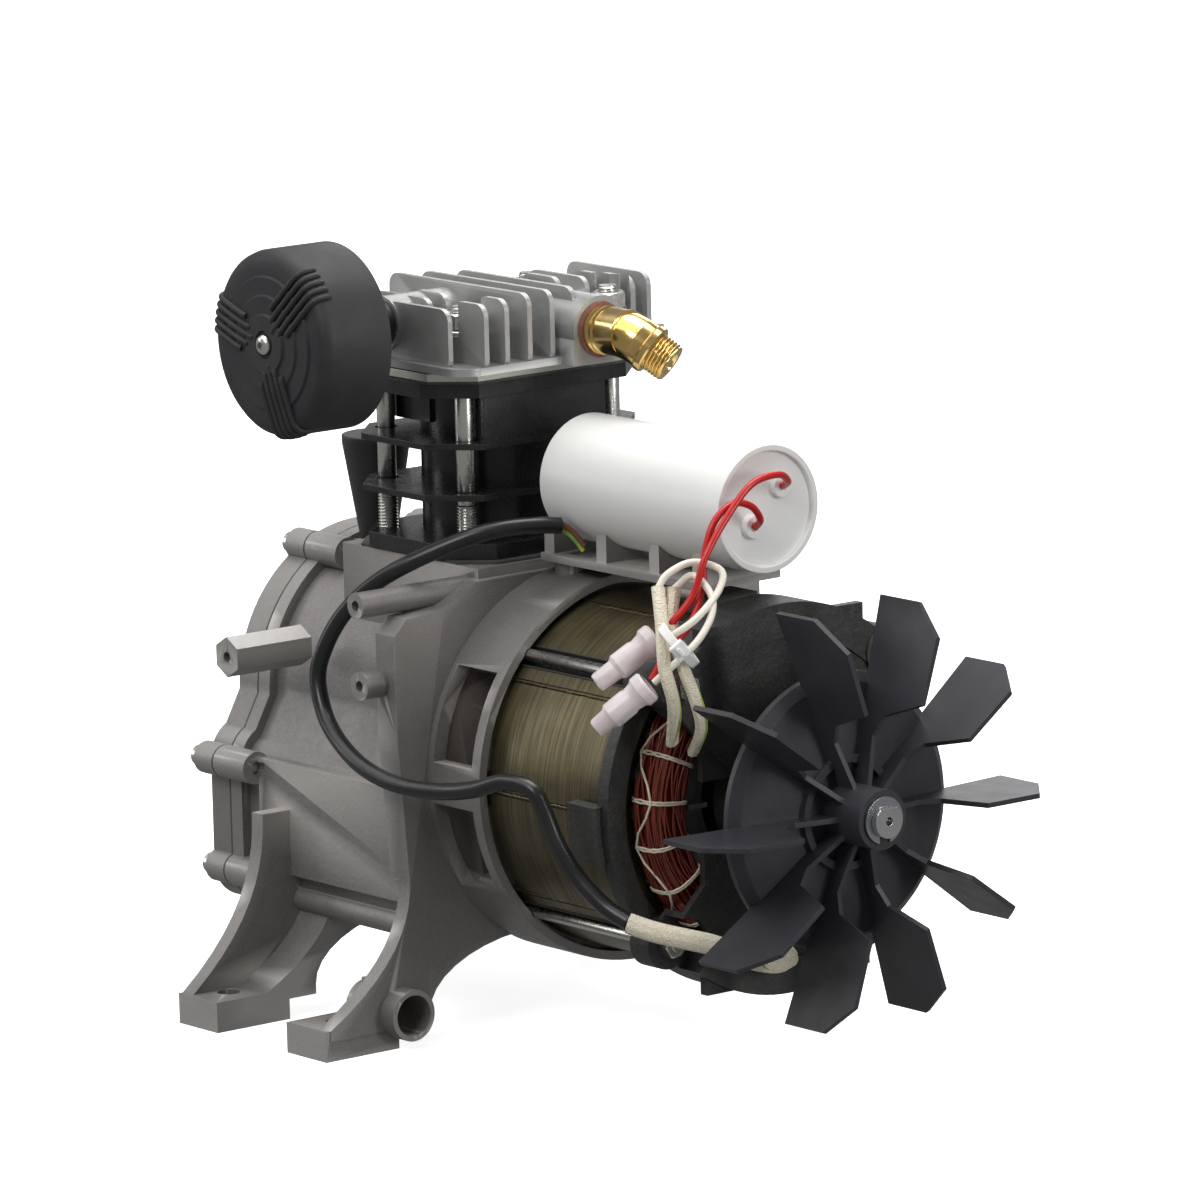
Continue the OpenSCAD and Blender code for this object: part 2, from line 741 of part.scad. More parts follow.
module piston() {
    color(alloy) difference() {
        union() {
            difference() {
                translate([0, 0, skirt_z]) cylinder(h = crown_z - skirt_z, r = piston_r);
                translate([0, 0, skirt_z - 1]) cylinder(h = crown_z - crown_t - skirt_z + 1, r = skirt_r);
            }
            for (side = [-1, 1]) intersection() {
                translate([0, 0, skirt_z]) cylinder(h = 30, r = skirt_r + 1);
                translate([side > 0 ? 8 : -25, -9, skirt_z]) cube([17, 18, wrist_z + 9 - skirt_z]);
            }
        }
        for (k = [0:2]) translate([0, 0, crown_z - 5 - k * 4.5]) difference() {
            cylinder(h = ring_h, r = piston_r + 2);
            translate([0, 0, -1]) cylinder(h = ring_h + 2, r = piston_r - 1.6);
        }
        bar_x(-30, 60, wrist_r, 0, wrist_z);
    }
}

module piston_rings() {
    color(steel) for (k = [0:2]) translate([0, 0, crown_z - 4.95 - k * 4.5]) difference() {
        cylinder(h = ring_h - 0.1, r = bore_r - 0.25);
        translate([0, 0, -1]) cylinder(h = ring_h + 2, r = piston_r - 1.5);
    }
}

// The pin's two ends in the piston; its middle is left open at the rod's eye
module wrist_pin() {
    color(steel) for (side = [-1, 1]) bar_x(side > 0 ? 8 : -24, 16, wrist_r, 0, wrist_z);
}

module rotor_core() {
    color([0.45, 0.45, 0.46]) ring_x(rotor_x0, rotor_x1 - rotor_x0, stator_bore - air_gap, rotor_shaft_r);
}

module rotor_end_rings() {
    color([0.78, 0.78, 0.79]) for (x = [rotor_x0 - 6, rotor_x1]) {
        ring_x(x, 6, stator_bore - 2, 26);
        for (a = [0:45:315]) translate([x == rotor_x1 ? x + 6 : x - 6, 0, shaft_z]) rotate([a, 0, 0])
            translate([0, -1, 28]) cube([6, 2, 9]);
    }
}

module stator_core() {
    color([0.55, 0.52, 0.38]) difference() {
        bar_x(stator_x0, stator_x1 - stator_x0, stator_r);
        bar_x(stator_x0 - 1, 100, stator_bore);
        at_ties() translate([stator_x0 - 1, 0, 0]) rotate([0, 90, 0]) cylinder(h = 100, r = 5);
        for (k = [0:slots - 1]) translate([stator_x0 - 1, 0, shaft_z]) rotate([k * 360 / slots, 0, 0])
            translate([0, -slot_w / 2, slot_r0]) cube([100, slot_w, slot_r1 - slot_r0]);
        for (a = [18:36:342]) translate([stator_x0 - 1, 0, shaft_z]) rotate([a, 0, 0])
            translate([0, -1, stator_r - 0.8]) cube([100, 2, 3]);
    }
}

module windings() {
    color([0.35, 0.08, 0.06]) union() {
        for (x = [stator_x0 - 9, stator_x1 + 9]) translate([x, 0, shaft_z]) rotate([0, 90, 0])
            rotate_extrude() translate([50.5, 0]) round_rect([-9, -9], [9, 9], 4);
        for (k = [0:slots - 1]) translate([stator_x0 - 1, 0, shaft_z]) rotate([k * 360 / slots, 0, 0])
            translate([0, 0.3 - slot_w / 2, slot_r0 + 0.3])
                cube([stator_x1 - stator_x0 + 2, slot_w - 0.6, slot_r1 - slot_r0 - 0.6]);
    }
}

module end_bell() {
    color(iron) difference() {
        union() {
            ring_x(stator_x1, 6, stator_r + 3, 64);
            intersection() {
                ring_x(stator_x1, bell_front - stator_x1 - 0.7, stator_r + 5, 62);
                union() {
                    translate([stator_x1 - 1, -47, shaft_z + 37]) cube([40, 94, 60]);
                    translate([stator_x1 - 1, -47, shaft_z - 97]) cube([40, 94, 60]);
                }
            }
            bar_x(hub_x0, bell_front + 2 - hub_x0, 26);
            for (z = [12, -70]) translate([web_front - 4, -40, shaft_z + z]) cube([4, 80, 58]);
            for (a = [45:90:315]) translate([158, 0, shaft_z]) rotate([a, 0, 0])
                translate([0, -9, 20]) cube([bell_front - 159.5, 18, 46]);
            at_ties() translate([stator_x1 + 1, 0, 0]) rotate([0, 90, 0]) cylinder(h = bell_front - stator_x1 - 1, r = 9.8);
            for (a = [5:90:275]) translate([stator_x1 - 14, 0, shaft_z]) rotate([a, 0, 0])
                translate([0, -11, stator_r + 0.4]) cube([17, 22, 5.4]);
        }
        ring_x(stator_x1 - 1, 20.5, 61.5, 25.5);
        bar_x(fan_brg_x, 30, fan_brg_r);
        bar_x(150, 30, 11);
        at_ties() translate([stator_x1 - 5, 0, 0]) rotate([0, 90, 0]) cylinder(h = 40, r = 3);
        for (y = [-tie_at, tie_at]) bar_x(low_pad_x, 30, 11.5, y, shaft_z - tie_at);
    }
}

// Where each tie bolt's nut sits: the two upper pads stand further out
function pad_x(z) = z > 0 ? bell_front : low_pad_x;

module tie_bolts() {
    color(zinc) for (y = [-tie_at, tie_at], z = [-tie_at, tie_at])
        bar_x(plate_x1 + 8, pad_x(z) + 6 - plate_x1 - 8, tie_r - 0.1, y, shaft_z + z);
}

module tie_nuts() {
    color(zinc) for (y = [-tie_at, tie_at], z = [-tie_at, tie_at])
        translate([pad_x(z), y, shaft_z + z]) rotate([0, 90, 0]) difference() {
            cylinder(h = 5, r = 5, $fn = 6);
            translate([0, 0, -1]) cylinder(h = 10, r = tie_r);
        }
}

// A blade, standing in the plane through the shaft: low rib at the hub, wide paddle outside
module fan_blade() {
    translate([fan_x, blade_t / 2, shaft_z]) rotate([90, 0, 0]) linear_extrude(blade_t) polygon([
        [-7, hub_r - 1], [6, hub_r - 1], [2, 30], [6, 38], [25.5, 44.8], [25.5, fan_r - 12],
        [11, fan_r], [-11, fan_r], [-7, 36]]);
}

module fan() {
    color(black) difference() {
        union() {
            bar_x(disc_x - 5, hub_x1 - disc_x + 5, hub_r);
            translate([disc_x - 5, 0, shaft_z]) rotate([0, 90, 0]) rotate_extrude()
                polygon([[tail_r, 5], [22, 5], [disc_r - 4, 3], [disc_r, 0], [disc_r, 2.5], [disc_r - 4, 5.5], [22, 7.5], [tail_r, 7.5]]);
            ring_x(disc_x, 5, 22, 19);
            for (k = [0:fan_blades - 1]) translate([0, 0, shaft_z]) rotate([-fan_turn - k * 360 / fan_blades, 0, 0])
                translate([0, 0, -shaft_z]) fan_blade();
        }
        bar_x(fan_x - 40, 80, tail_r);
    }
}

module fan_clip() {
    color(steel) difference() {
        ring_x(hub_x1 + 0.1, 1.1, 9, tail_r - 0.8);
        translate([hub_x1 - 1, -2.5, shaft_z - 12]) cube([4, 5, 12]);
    }
}

module capacitor() {
    color([0.93, 0.93, 0.92]) difference() {
        union() {
            bar_x(cap_x0, cap_len, cap_r, 0, cap_z);
            for (p = cap_leads) bar_x(cap_x0 + cap_len - 3, 3.5, 4.5, p[0], p[1]);
        }
        difference() {
            bar_x(cap_x0 + cap_len - 2, 4, cap_r - 2.5, 0, cap_z);
            for (p = cap_leads) bar_x(cap_x0 + cap_len - 5, 10, 4.5, p[0], p[1]);
        }
        for (p = cap_leads) bar_x(cap_x0 + cap_len - 1, 5, 1.6, p[0], p[1]);
    }
}

// Saddle under the capacitor, screwed to the bell
module capacitor_cradle() {
    saddle_z = bell_r + shaft_z + 3;
    color(alloy) difference() {
        union() {
            translate([50, -20, saddle_z]) cube([96, 40, 3]);
            for (x = [50, 82, 114, 140]) translate([x, -18, saddle_z]) cube([6, 36, 18]);
        }
        bar_x(40, 120, cap_r + 0.1, 0, cap_z);
        for (y = [-12, 12]) translate([62, y, saddle_z - 1]) cylinder(h = 8, r = 2.2);
    }
}

module cradle_screws() {
    color(zinc) for (y = [-12, 12]) translate([58, y, bell_r + shaft_z - 8]) cylinder(h = 11, r = 1.9);
}

// Stepped closed end caps over the crimped joints
module connector(ends) {
    d = ends[1] - ends[0];
    len = norm(d);
    translate(ends[0]) rotate([0, acos(d[2] / len), atan2(d[1], d[0])]) {
        cylinder(h = 4, r = 6.4);
        translate([0, 0, 4]) cylinder(h = 15, r = 5.2);
        translate([0, 0, 19]) cylinder(h = len - 19, r = 3.8);
    }
}
module lead_connectors() {
    color([0.92, 0.88, 0.88]) union() {
        connector(connector_far);
        connector(connector_near);
    }
}

// Sweep a round section along a route of points
function unit(v) = v / norm(v);
function heading(r, i) = unit(r[min(i + 1, len(r) - 1)] - r[max(i - 1, 0)]);
function side(t) = unit(cross(t, abs(t[2]) > 0.9 ? [1, 0, 0] : [0, 0, 1]));
module sweep(route, d, sides) {
    rings = [for (i = [0:len(route) - 1]) let (t = heading(route, i), u = side(t), v = cross(t, u))
        for (k = [0:sides - 1]) route[i] + d / 2 * (u * cos(k * 360 / sides) + v * sin(k * 360 / sides))];
    last = (len(route) - 1) * sides;
    polyhedron(rings, concat([[for (k = [0:sides - 1]) k]],
        [for (i = [0:len(route) - 2], k = [0:sides - 1]) let (a = i * sides, n = (k + 1) % sides)
            [a + k, a + sides + k, a + sides + n, a + n]],
        [[for (k = [sides - 1:-1:0]) last + k]]));
}

module power_lead() { color(black) sweep(power_route, power_d, 10); }
module red_leads() {
    color([0.75, 0.06, 0.06]) union() {
        sweep(red_far, lead_d, 8);
        sweep(red_near, lead_d, 8);
    }
}
module white_leads() {
    color([0.92, 0.90, 0.85]) union() {
        sweep(white_far, lead_d, 8);
        sweep(white_near, lead_d, 8);
    }
}

module cable_tie() {
    color([0.9, 0.9, 0.88]) translate(tie_point) rotate([0, 50, 55]) difference() {
        union() {
            scale(1) cylinder(h = 3.5, r = 10.5);
            translate([-3, -15, -1]) cube([6, 6, 6]);
        }
        translate([0, 0, -1]) cylinder(h = 6, r = 9.5);
    }
}

module motor_sleeve() { color([0.85, 0.82, 0.72]) sweep(motor_sleeve_route, motor_sleeve_d, 8); }
module winding_sleeves() {
    color([0.85, 0.82, 0.72]) union() {
        sweep(sleeve_far, sleeve_d, 8);
        sweep(sleeve_near, sleeve_d, 8);
    }
}

crankcase();
end_cover();
cover_gasket();
cover_screws();
oil_sight_glass();
drain_plug();
breather_plug();
cylinder_barrel();  // cylinder
cylinder_base_gasket();
lower_head_gasket();
valve_plate();
reed_valves();
upper_head_gasket();
cylinder_head();
head_studs();
head_nuts();
head_washers();
inlet_neck();
filter_base();
filter_element();
filter_cover();
filter_screw();
outlet_seal_ring();
outlet_elbow();
crankshaft();
crank_web();
crank_pin_bolt();
main_bearing_inner();
main_bearing_balls();
main_bearing_outer();
shaft_seal();
connecting_rod();
big_end_bush();
piston();
piston_rings();
wrist_pin();
rotor_core();
rotor_end_rings();
stator_core();
windings();
end_bell();
tie_bolts();
tie_nuts();
fan_bearing_inner();
fan_bearing_balls();
fan_bearing_outer();
fan();
fan_clip();
capacitor();
capacitor_cradle();
cradle_screws();
lead_connectors();
cable_tie();
motor_sleeve();
winding_sleeves();
power_lead();
red_leads();
white_leads();
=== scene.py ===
"""Looks of the piston air pump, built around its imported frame.

World frame: X along the shaft towards the fan, Z up. Places and sizes are given in millimetres
and turned into metres where meshes are made.
"""
import json
import math
import random

import bmesh
import bpy
from mathutils import Matrix, Vector

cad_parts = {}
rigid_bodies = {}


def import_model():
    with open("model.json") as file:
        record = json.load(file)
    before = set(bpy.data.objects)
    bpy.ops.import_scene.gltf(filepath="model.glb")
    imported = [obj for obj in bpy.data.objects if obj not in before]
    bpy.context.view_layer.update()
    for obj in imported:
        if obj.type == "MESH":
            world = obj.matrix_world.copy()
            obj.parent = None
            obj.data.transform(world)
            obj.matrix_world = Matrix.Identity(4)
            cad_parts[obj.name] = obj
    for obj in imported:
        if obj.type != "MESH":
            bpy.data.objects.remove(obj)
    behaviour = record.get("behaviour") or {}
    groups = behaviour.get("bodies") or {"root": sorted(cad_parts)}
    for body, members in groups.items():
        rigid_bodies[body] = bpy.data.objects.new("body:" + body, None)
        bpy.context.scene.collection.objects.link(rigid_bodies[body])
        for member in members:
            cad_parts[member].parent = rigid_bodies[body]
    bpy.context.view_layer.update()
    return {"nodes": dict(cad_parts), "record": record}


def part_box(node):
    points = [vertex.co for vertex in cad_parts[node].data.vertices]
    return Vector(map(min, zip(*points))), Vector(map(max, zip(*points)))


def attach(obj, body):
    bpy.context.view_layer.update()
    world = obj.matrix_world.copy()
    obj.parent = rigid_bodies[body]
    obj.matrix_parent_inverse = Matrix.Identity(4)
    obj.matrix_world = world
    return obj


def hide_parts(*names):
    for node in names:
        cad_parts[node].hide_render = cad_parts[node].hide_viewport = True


for leftover in list(bpy.data.objects):
    bpy.data.objects.remove(leftover)

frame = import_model()
nodes = frame["nodes"]
MM = 0.001
HOUSING = "housing"


# ---------------------------------------------------------------- places taken from the frame
def low(node):
    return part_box(node)[0] / MM


def high(node):
    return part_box(node)[1] / MM


def middle(node):
    return (low(node) + high(node)) / 2


shaft_z = middle("crankshaft").z
stator_r = (high("stator_core").y - low("stator_core").y) / 2


# ---------------------------------------------------------------- camera and light
def add_camera():
    """A long lens at the height of the head, looking at the corner between fan and filter."""
    azimuth = math.radians(38.35)
    elevation = math.radians(10.46)
    roll = math.radians(-1.45)
    aim = Vector((0.0626, -0.0015, 0.1644))
    distance = 3.6
    back = Vector((math.cos(elevation) * math.cos(azimuth), -math.cos(elevation) * math.sin(azimuth),
                   math.sin(elevation)))
    right = back.cross(Vector((0, 0, -1))).normalized()
    up = back.cross(right)
    data = bpy.data.cameras.new("camera")
    data.sensor_width = 36
    data.lens = 280.7
    data.clip_end = 100
    camera = bpy.data.objects.new("camera", data)
    bpy.context.scene.collection.objects.link(camera)
    turned_right = right * math.cos(roll) + up * math.sin(roll)
    turned_up = up * math.cos(roll) - right * math.sin(roll)
    turn = Matrix((turned_right, turned_up, back)).transposed().to_4x4()
    camera.matrix_world = Matrix.Translation(aim + back * distance) @ turn
    bpy.context.scene.camera = camera


def add_light(name, place, aim, size, power, color=(1, 1, 1)):
    data = bpy.data.lights.new(name, "AREA")
    data.shape = "RECTANGLE"
    data.size, data.size_y = size
    data.energy = power
    data.color = color
    light = bpy.data.objects.new(name, data)
    bpy.context.scene.collection.objects.link(light)
    direction = Vector(aim) - Vector(place)
    light.matrix_world = Matrix.Translation(place) @ direction.to_track_quat("-Z", "Y").to_matrix().to_4x4()


def add_studio():
    """Large soft lights round the pump, a broad sun and a pale world."""
    world = bpy.data.worlds.new("studio")
    bpy.context.scene.world = world
    world.use_nodes = True
    world.node_tree.nodes["Background"].inputs["Color"].default_value = (1, 1, 1, 1)
    world.node_tree.nodes["Background"].inputs["Strength"].default_value = 0.26
    centre = (0.06, 0, 0.15)
    add_light("key", (0.7, -1.9, 1.7), centre, (0.9, 0.7), 15)
    add_light("left", (-1.8, -1.3, 0.8), centre, (0.4, 1.2), 6)
    add_light("right", (2.2, 0.6, 0.8), centre, (0.4, 1.2), 18)
    add_light("top", (0.0, 0.4, 1.8), centre, (1.2, 1.2), 20)
    add_light("rear", (-1.2, 1.6, 1.2), centre, (1.0, 1.0), 9)
    sky = bpy.data.lights.new("sky", "SUN")
    sky.energy = 1.7
    sky.angle = math.radians(70)
    dome = bpy.data.objects.new("sky", sky)
    dome.rotation_euler = (math.radians(18), math.radians(-14), 0)
    bpy.context.scene.collection.objects.link(dome)
    bpy.context.scene.view_settings.view_transform = "Standard"


def add_floor():
    """A white floor that only the camera sees, so that it neither lights the pump nor shows in it."""
    half = 14
    mesh = bpy.data.meshes.new("floor")
    mesh.from_pydata([(-half, -half, 0), (half, -half, 0), (half, half, 0), (-half, half, 0)], [], [(0, 1, 2, 3)])
    floor = bpy.data.objects.new("floor", mesh)
    bpy.context.scene.collection.objects.link(floor)
    floor.data.materials.append(surface("floor", (0.93, 0.93, 0.93), rough=(0.75, 0.85), rough_scale=3,
                                        Emission_Color=(1, 1, 1, 1), Emission_Strength=0.85))
    floor.visible_diffuse = False
    floor.visible_glossy = False


# ---------------------------------------------------------------- materials
def wire(tree, kind, inputs=None, **settings):
    """A shader node with its settings, its inputs linked to sockets or set to values."""
    made = tree.nodes.new(kind)
    for key, value in settings.items():
        setattr(made, key, value)
    for key, value in (inputs or {}).items():
        if isinstance(value, bpy.types.NodeSocket):
            tree.links.new(value, made.inputs[key])
        else:
            made.inputs[key].default_value = value
    return made


def coordinates(tree, stretch):
    place = wire(tree, "ShaderNodeTexCoord").outputs["Object"]
    return wire(tree, "ShaderNodeMapping", {"Vector": place, "Scale": stretch}).outputs["Vector"]


def noise(tree, scale, stretch=(1, 1, 1), detail=4.0, roughness=0.6):
    made = wire(tree, "ShaderNodeTexNoise", {"Vector": coordinates(tree, stretch), "Scale": scale,
                                             "Detail": detail, "Roughness": roughness})
    return made.outputs["Fac"]


def cells(tree, scale, stretch=(1, 1, 1)):
    made = wire(tree, "ShaderNodeTexVoronoi", {"Vector": coordinates(tree, stretch), "Scale": scale})
    return made.outputs["Distance"]


# Stretches that turn a noise into fine lines across one axis
ACROSS = {"X": (1, 0.03, 0.03), "Y": (0.03, 1, 0.03), "Z": (0.03, 0.03, 1)}


def spread(tree, value, low_in, high_in, low_out, high_out):
    made = wire(tree, "ShaderNodeMapRange", {"Value": value, "From Min": low_in, "From Max": high_in,
                                             "To Min": low_out, "To Max": high_out})
    return made.outputs["Result"]


def mixed(tree, factor, first, second):
    made = wire(tree, "ShaderNodeMix", data_type="RGBA")
    for socket, value in ((made.inputs[0], factor), (made.inputs[6], first), (made.inputs[7], second)):
        if isinstance(value, bpy.types.NodeSocket):
            tree.links.new(value, socket)
        else:
            socket.default_value = value
    return made.outputs[2]


def rgba(color):
    return (color[0], color[1], color[2], 1)


def surface(name, base, other=None, patch=30, rough=(0.4, 0.5), rough_scale=60, stretch=(1, 1, 1),
            speck=None, edge=None, bumps=(), lines=None, **sockets):
    """A procedural finish. other is a second colour that a noise of scale patch blends in. speck is
    (scale, colour, share), edge is (colour, share) for a lighter tint on sharp edges, partly wear and machining
    and partly a painted highlight, bumps are (kind, scale, depth in mm), lines is (direction, scale, colour,
    share), and sockets are set on the shader itself."""
    made = bpy.data.materials.new(name)
    made.use_nodes = True
    tree = made.node_tree
    shader = tree.nodes["Principled BSDF"]
    for key, value in sockets.items():
        shader.inputs[key.replace("_", " ")].default_value = value
    blotch = spread(tree, noise(tree, patch, stretch), 0.3, 0.7, 0, 1)
    color = mixed(tree, blotch, rgba(base), rgba(other or [0.86 * c for c in base]))
    if lines:
        direction, scale, line_color, share = lines
        stripe = spread(tree, noise(tree, scale, ACROSS[direction]), 0.4, 0.65, 0, share)
        color = mixed(tree, stripe, color, rgba(line_color))
    if speck:
        scale, speck_color, share = speck
        dots = spread(tree, noise(tree, scale, detail=2.0), 0.45, 0.75, 0, share)
        color = mixed(tree, dots, color, rgba(speck_color))
    if edge:
        edge_color, share = edge
        # Sharp edges turn lighter: partly wear and machining, partly a painted highlight along the edges.
        pointed = wire(tree, "ShaderNodeNewGeometry").outputs["Pointiness"]
        wear_and_highlight = spread(tree, pointed, 0.52, 0.62, 0, share)
        color = mixed(tree, wear_and_highlight, color, rgba(edge_color))
    tree.links.new(color, shader.inputs["Base Color"])
    shine = spread(tree, noise(tree, rough_scale, stretch), 0.25, 0.75, rough[0], rough[1])
    tree.links.new(shine, shader.inputs["Roughness"])
    normal = None
    for kind, scale, depth in bumps:
        if kind == "noise":
            height = noise(tree, scale, stretch)
        elif kind == "cells":
            height = cells(tree, scale)
        else:
            height = noise(tree, scale, ACROSS[kind])
        inputs = {"Height": height, "Distance": depth * MM, "Strength": 1.0}
        if normal:
            inputs["Normal"] = normal
        normal = wire(tree, "ShaderNodeBump", inputs).outputs["Normal"]
    if normal:
        tree.links.new(normal, shader.inputs["Normal"])
    return made


CAST = [("noise", 900, 0.10), ("cells", 420, 0.06)]
# Each edge colour below lightens sharp edges: partly wear and machining, partly a painted highlight.
MATERIALS = {
    "case_aluminium": surface("case_aluminium", (0.21, 0.20, 0.195), (0.262, 0.25, 0.243), patch=18,
                              rough=(0.42, 0.62), rough_scale=300, speck=(1500, (0.13, 0.118, 0.108), 0.55),
                              edge=((0.60, 0.575, 0.55), 0.75), bumps=CAST, Metallic=0.45),
    "cover_aluminium": surface("cover_aluminium", (0.19, 0.181, 0.176), (0.24, 0.229, 0.222), patch=22,
                               rough=(0.42, 0.6), rough_scale=300, speck=(1500, (0.145, 0.132, 0.122), 0.5),
                               edge=((0.62, 0.595, 0.57), 0.75), bumps=CAST, Metallic=0.45),
    "head_aluminium": surface("head_aluminium", (0.40, 0.40, 0.395), (0.34, 0.34, 0.335), patch=40,
                              rough=(0.32, 0.5), rough_scale=200, speck=(1800, (0.30, 0.30, 0.295), 0.35),
                              edge=((0.85, 0.85, 0.84), 0.85), bumps=[("noise", 800, 0.07)], Metallic=0.65),
    "rod_aluminium": surface("rod_aluminium", (0.62, 0.62, 0.61), patch=50, rough=(0.35, 0.5),
                             bumps=[("noise", 900, 0.06)], Metallic=0.8),
    "piston_aluminium": surface("piston_aluminium", (0.70, 0.70, 0.69), patch=50, rough=(0.22, 0.34),
                                bumps=[("Z", 900, 0.01)], Metallic=0.9),
    "rotor_aluminium": surface("rotor_aluminium", (0.64, 0.64, 0.63), patch=60, rough=(0.35, 0.5),
                               bumps=[("noise", 700, 0.08)], Metallic=0.8),
    "painted_iron": surface("painted_iron", (0.012, 0.012, 0.013), (0.02, 0.02, 0.021), patch=60,
                            rough=(0.2, 0.34), rough_scale=120, edge=((0.05, 0.05, 0.05), 0.5),
                            bumps=[("noise", 420, 0.10)], Specular_IOR_Level=0.35, Coat_Weight=0.12,
                            Coat_Roughness=0.15),
    "bell_iron": surface("bell_iron", (0.018, 0.018, 0.019), (0.035, 0.034, 0.032), patch=80,
                         rough=(0.42, 0.62), rough_scale=400, speck=(900, (0.07, 0.065, 0.06), 0.4),
                         edge=((0.09, 0.09, 0.085), 0.5), bumps=[("noise", 600, 0.28), ("cells", 260, 0.14)],
                         Metallic=0.2),
    "crank_iron": surface("crank_iron", (0.25, 0.25, 0.25), patch=50, rough=(0.3, 0.45), Metallic=0.9,
                          bumps=[("noise", 700, 0.05)]),
    "ring_iron": surface("ring_iron", (0.2, 0.2, 0.2), patch=80, rough=(0.2, 0.3), Metallic=1.0),
    "bright_steel": surface("bright_steel", (0.60, 0.61, 0.53), (0.50, 0.52, 0.44), patch=25,
                            rough=(0.24, 0.4), stretch=(1, 1, 8), bumps=[("noise", 500, 0.02)], Metallic=0.95),
    "spring_steel": surface("spring_steel", (0.42, 0.43, 0.46), patch=60, rough=(0.22, 0.34), Metallic=1.0),
    "shaft_steel": surface("shaft_steel", (0.60, 0.60, 0.60), (0.52, 0.52, 0.51), patch=40,
                           rough=(0.18, 0.32), stretch=(6, 1, 1), bumps=[("X", 1600, 0.006)], Metallic=1.0),
    "bearing_steel": surface("bearing_steel", (0.66, 0.66, 0.67), patch=70, rough=(0.08, 0.18), Metallic=1.0),
    "zinc_steel": surface("zinc_steel", (0.66, 0.66, 0.63), (0.58, 0.57, 0.52), patch=90,
                          rough=(0.2, 0.36), rough_scale=260, edge=((0.8, 0.8, 0.78), 0.4),
                          bumps=[("noise", 900, 0.02)], Metallic=1.0),
    "lamination": surface("lamination", (0.18, 0.145, 0.07), (0.115, 0.105, 0.07), patch=20,
                          rough=(0.3, 0.46), lines=("X", 900, (0.06, 0.05, 0.03), 0.8),
                          bumps=[("X", 1100, 0.09)], Metallic=0.8),
    "copper_wire": surface("copper_wire", (0.11, 0.010, 0.007), (0.19, 0.022, 0.012), patch=70,
                           rough=(0.18, 0.3), edge=((0.42, 0.10, 0.05), 0.35), Metallic=0.4, Coat_Weight=0.5),
    "brass": surface("brass", (0.80, 0.56, 0.20), (0.70, 0.46, 0.14), patch=60, rough=(0.12, 0.24),
                     rough_scale=150, edge=((0.95, 0.78, 0.42), 0.5), bumps=[("noise", 500, 0.015)],
                     Metallic=1.0),
    "bronze": surface("bronze", (0.60, 0.38, 0.16), patch=60, rough=(0.2, 0.3), Metallic=1.0),
    "gasket": surface("gasket", (0.05, 0.05, 0.05), (0.08, 0.08, 0.075), patch=200, rough=(0.7, 0.9),
                      bumps=[("noise", 1500, 0.04)]),
    "seal_rubber": surface("seal_rubber", (0.02, 0.02, 0.02), patch=80, rough=(0.5, 0.65)),
    "sight_glass": surface("sight_glass", (0.72, 0.66, 0.45), (0.66, 0.58, 0.36), patch=60,
                           rough=(0.03, 0.08), Transmission_Weight=0.85, IOR=1.47),
    "black_plastic": surface("black_plastic", (0.016, 0.016, 0.016), (0.024, 0.024, 0.024), patch=120,
                             rough=(0.38, 0.52), bumps=[("noise", 1400, 0.03)]),
    "filter_plastic": surface("filter_plastic", (0.022, 0.022, 0.025), (0.032, 0.032, 0.035), patch=70,
                              rough=(0.46, 0.6), edge=((0.06, 0.06, 0.06), 0.5),
                              bumps=[("noise", 1600, 0.05)], Specular_IOR_Level=0.3),
    "filter_foam": surface("filter_foam", (0.06, 0.06, 0.06), patch=200, rough=(0.8, 0.95),
                           bumps=[("cells", 700, 0.5)]),
    "thread_sealant": surface("thread_sealant", (0.16, 0.05, 0.025), (0.25, 0.09, 0.05), patch=200,
                              rough=(0.4, 0.6), bumps=[("noise", 700, 0.2)]),
    "fan_plastic": surface("fan_plastic", (0.030, 0.030, 0.036), (0.042, 0.042, 0.050), patch=40,
                           rough=(0.3, 0.42), rough_scale=90, bumps=[("noise", 1100, 0.02)],
                           Specular_IOR_Level=0.4),
    "white_can": surface("white_can", (0.84, 0.84, 0.82), (0.80, 0.80, 0.78), patch=30, rough=(0.28, 0.38),
                         bumps=[("noise", 500, 0.015)]),
    "clear_cap": surface("clear_cap", (0.90, 0.85, 0.85), (0.86, 0.74, 0.75), patch=90, rough=(0.16, 0.28),
                         Transmission_Weight=0.35, IOR=1.4),
    "white_nylon": surface("white_nylon", (0.84, 0.84, 0.82), patch=90, rough=(0.28, 0.4)),
    "woven_sleeve": surface("woven_sleeve", (0.78, 0.72, 0.58), (0.66, 0.60, 0.46), patch=300,
                            rough=(0.75, 0.92), bumps=[("cells", 1300, 0.35)]),
    "black_cable": surface("black_cable", (0.010, 0.010, 0.011), (0.016, 0.016, 0.017), patch=60,
                           rough=(0.24, 0.36), bumps=[("noise", 1200, 0.02)]),
    "red_wire": surface("red_wire", (0.55, 0.012, 0.012), (0.47, 0.01, 0.01), patch=80, rough=(0.25, 0.36)),
    "white_wire": surface("white_wire", (0.86, 0.82, 0.72), (0.80, 0.76, 0.66), patch=90, rough=(0.3, 0.42)),
    # Black sheet: the slot liners at the winding ends, and painted shade in the tie rod grooves.
    "slot_paper_and_groove_shade": surface("slot_paper_and_groove_shade", (0.025, 0.022, 0.02), patch=200, rough=(0.5, 0.7)),
    "lacing_cord": surface("lacing_cord", (0.80, 0.74, 0.60), (0.68, 0.60, 0.46), patch=300,
                           rough=(0.7, 0.85), bumps=[("noise", 2200, 0.12)]),
    "blue_core": surface("blue_core", (0.02, 0.10, 0.42), patch=90, rough=(0.3, 0.4)),
    "brown_core": surface("brown_core", (0.18, 0.07, 0.03), patch=90, rough=(0.3, 0.4)),
    "green_core": surface("green_core", (0.08, 0.32, 0.08), (0.62, 0.60, 0.06), patch=60, rough=(0.3, 0.4)),
}


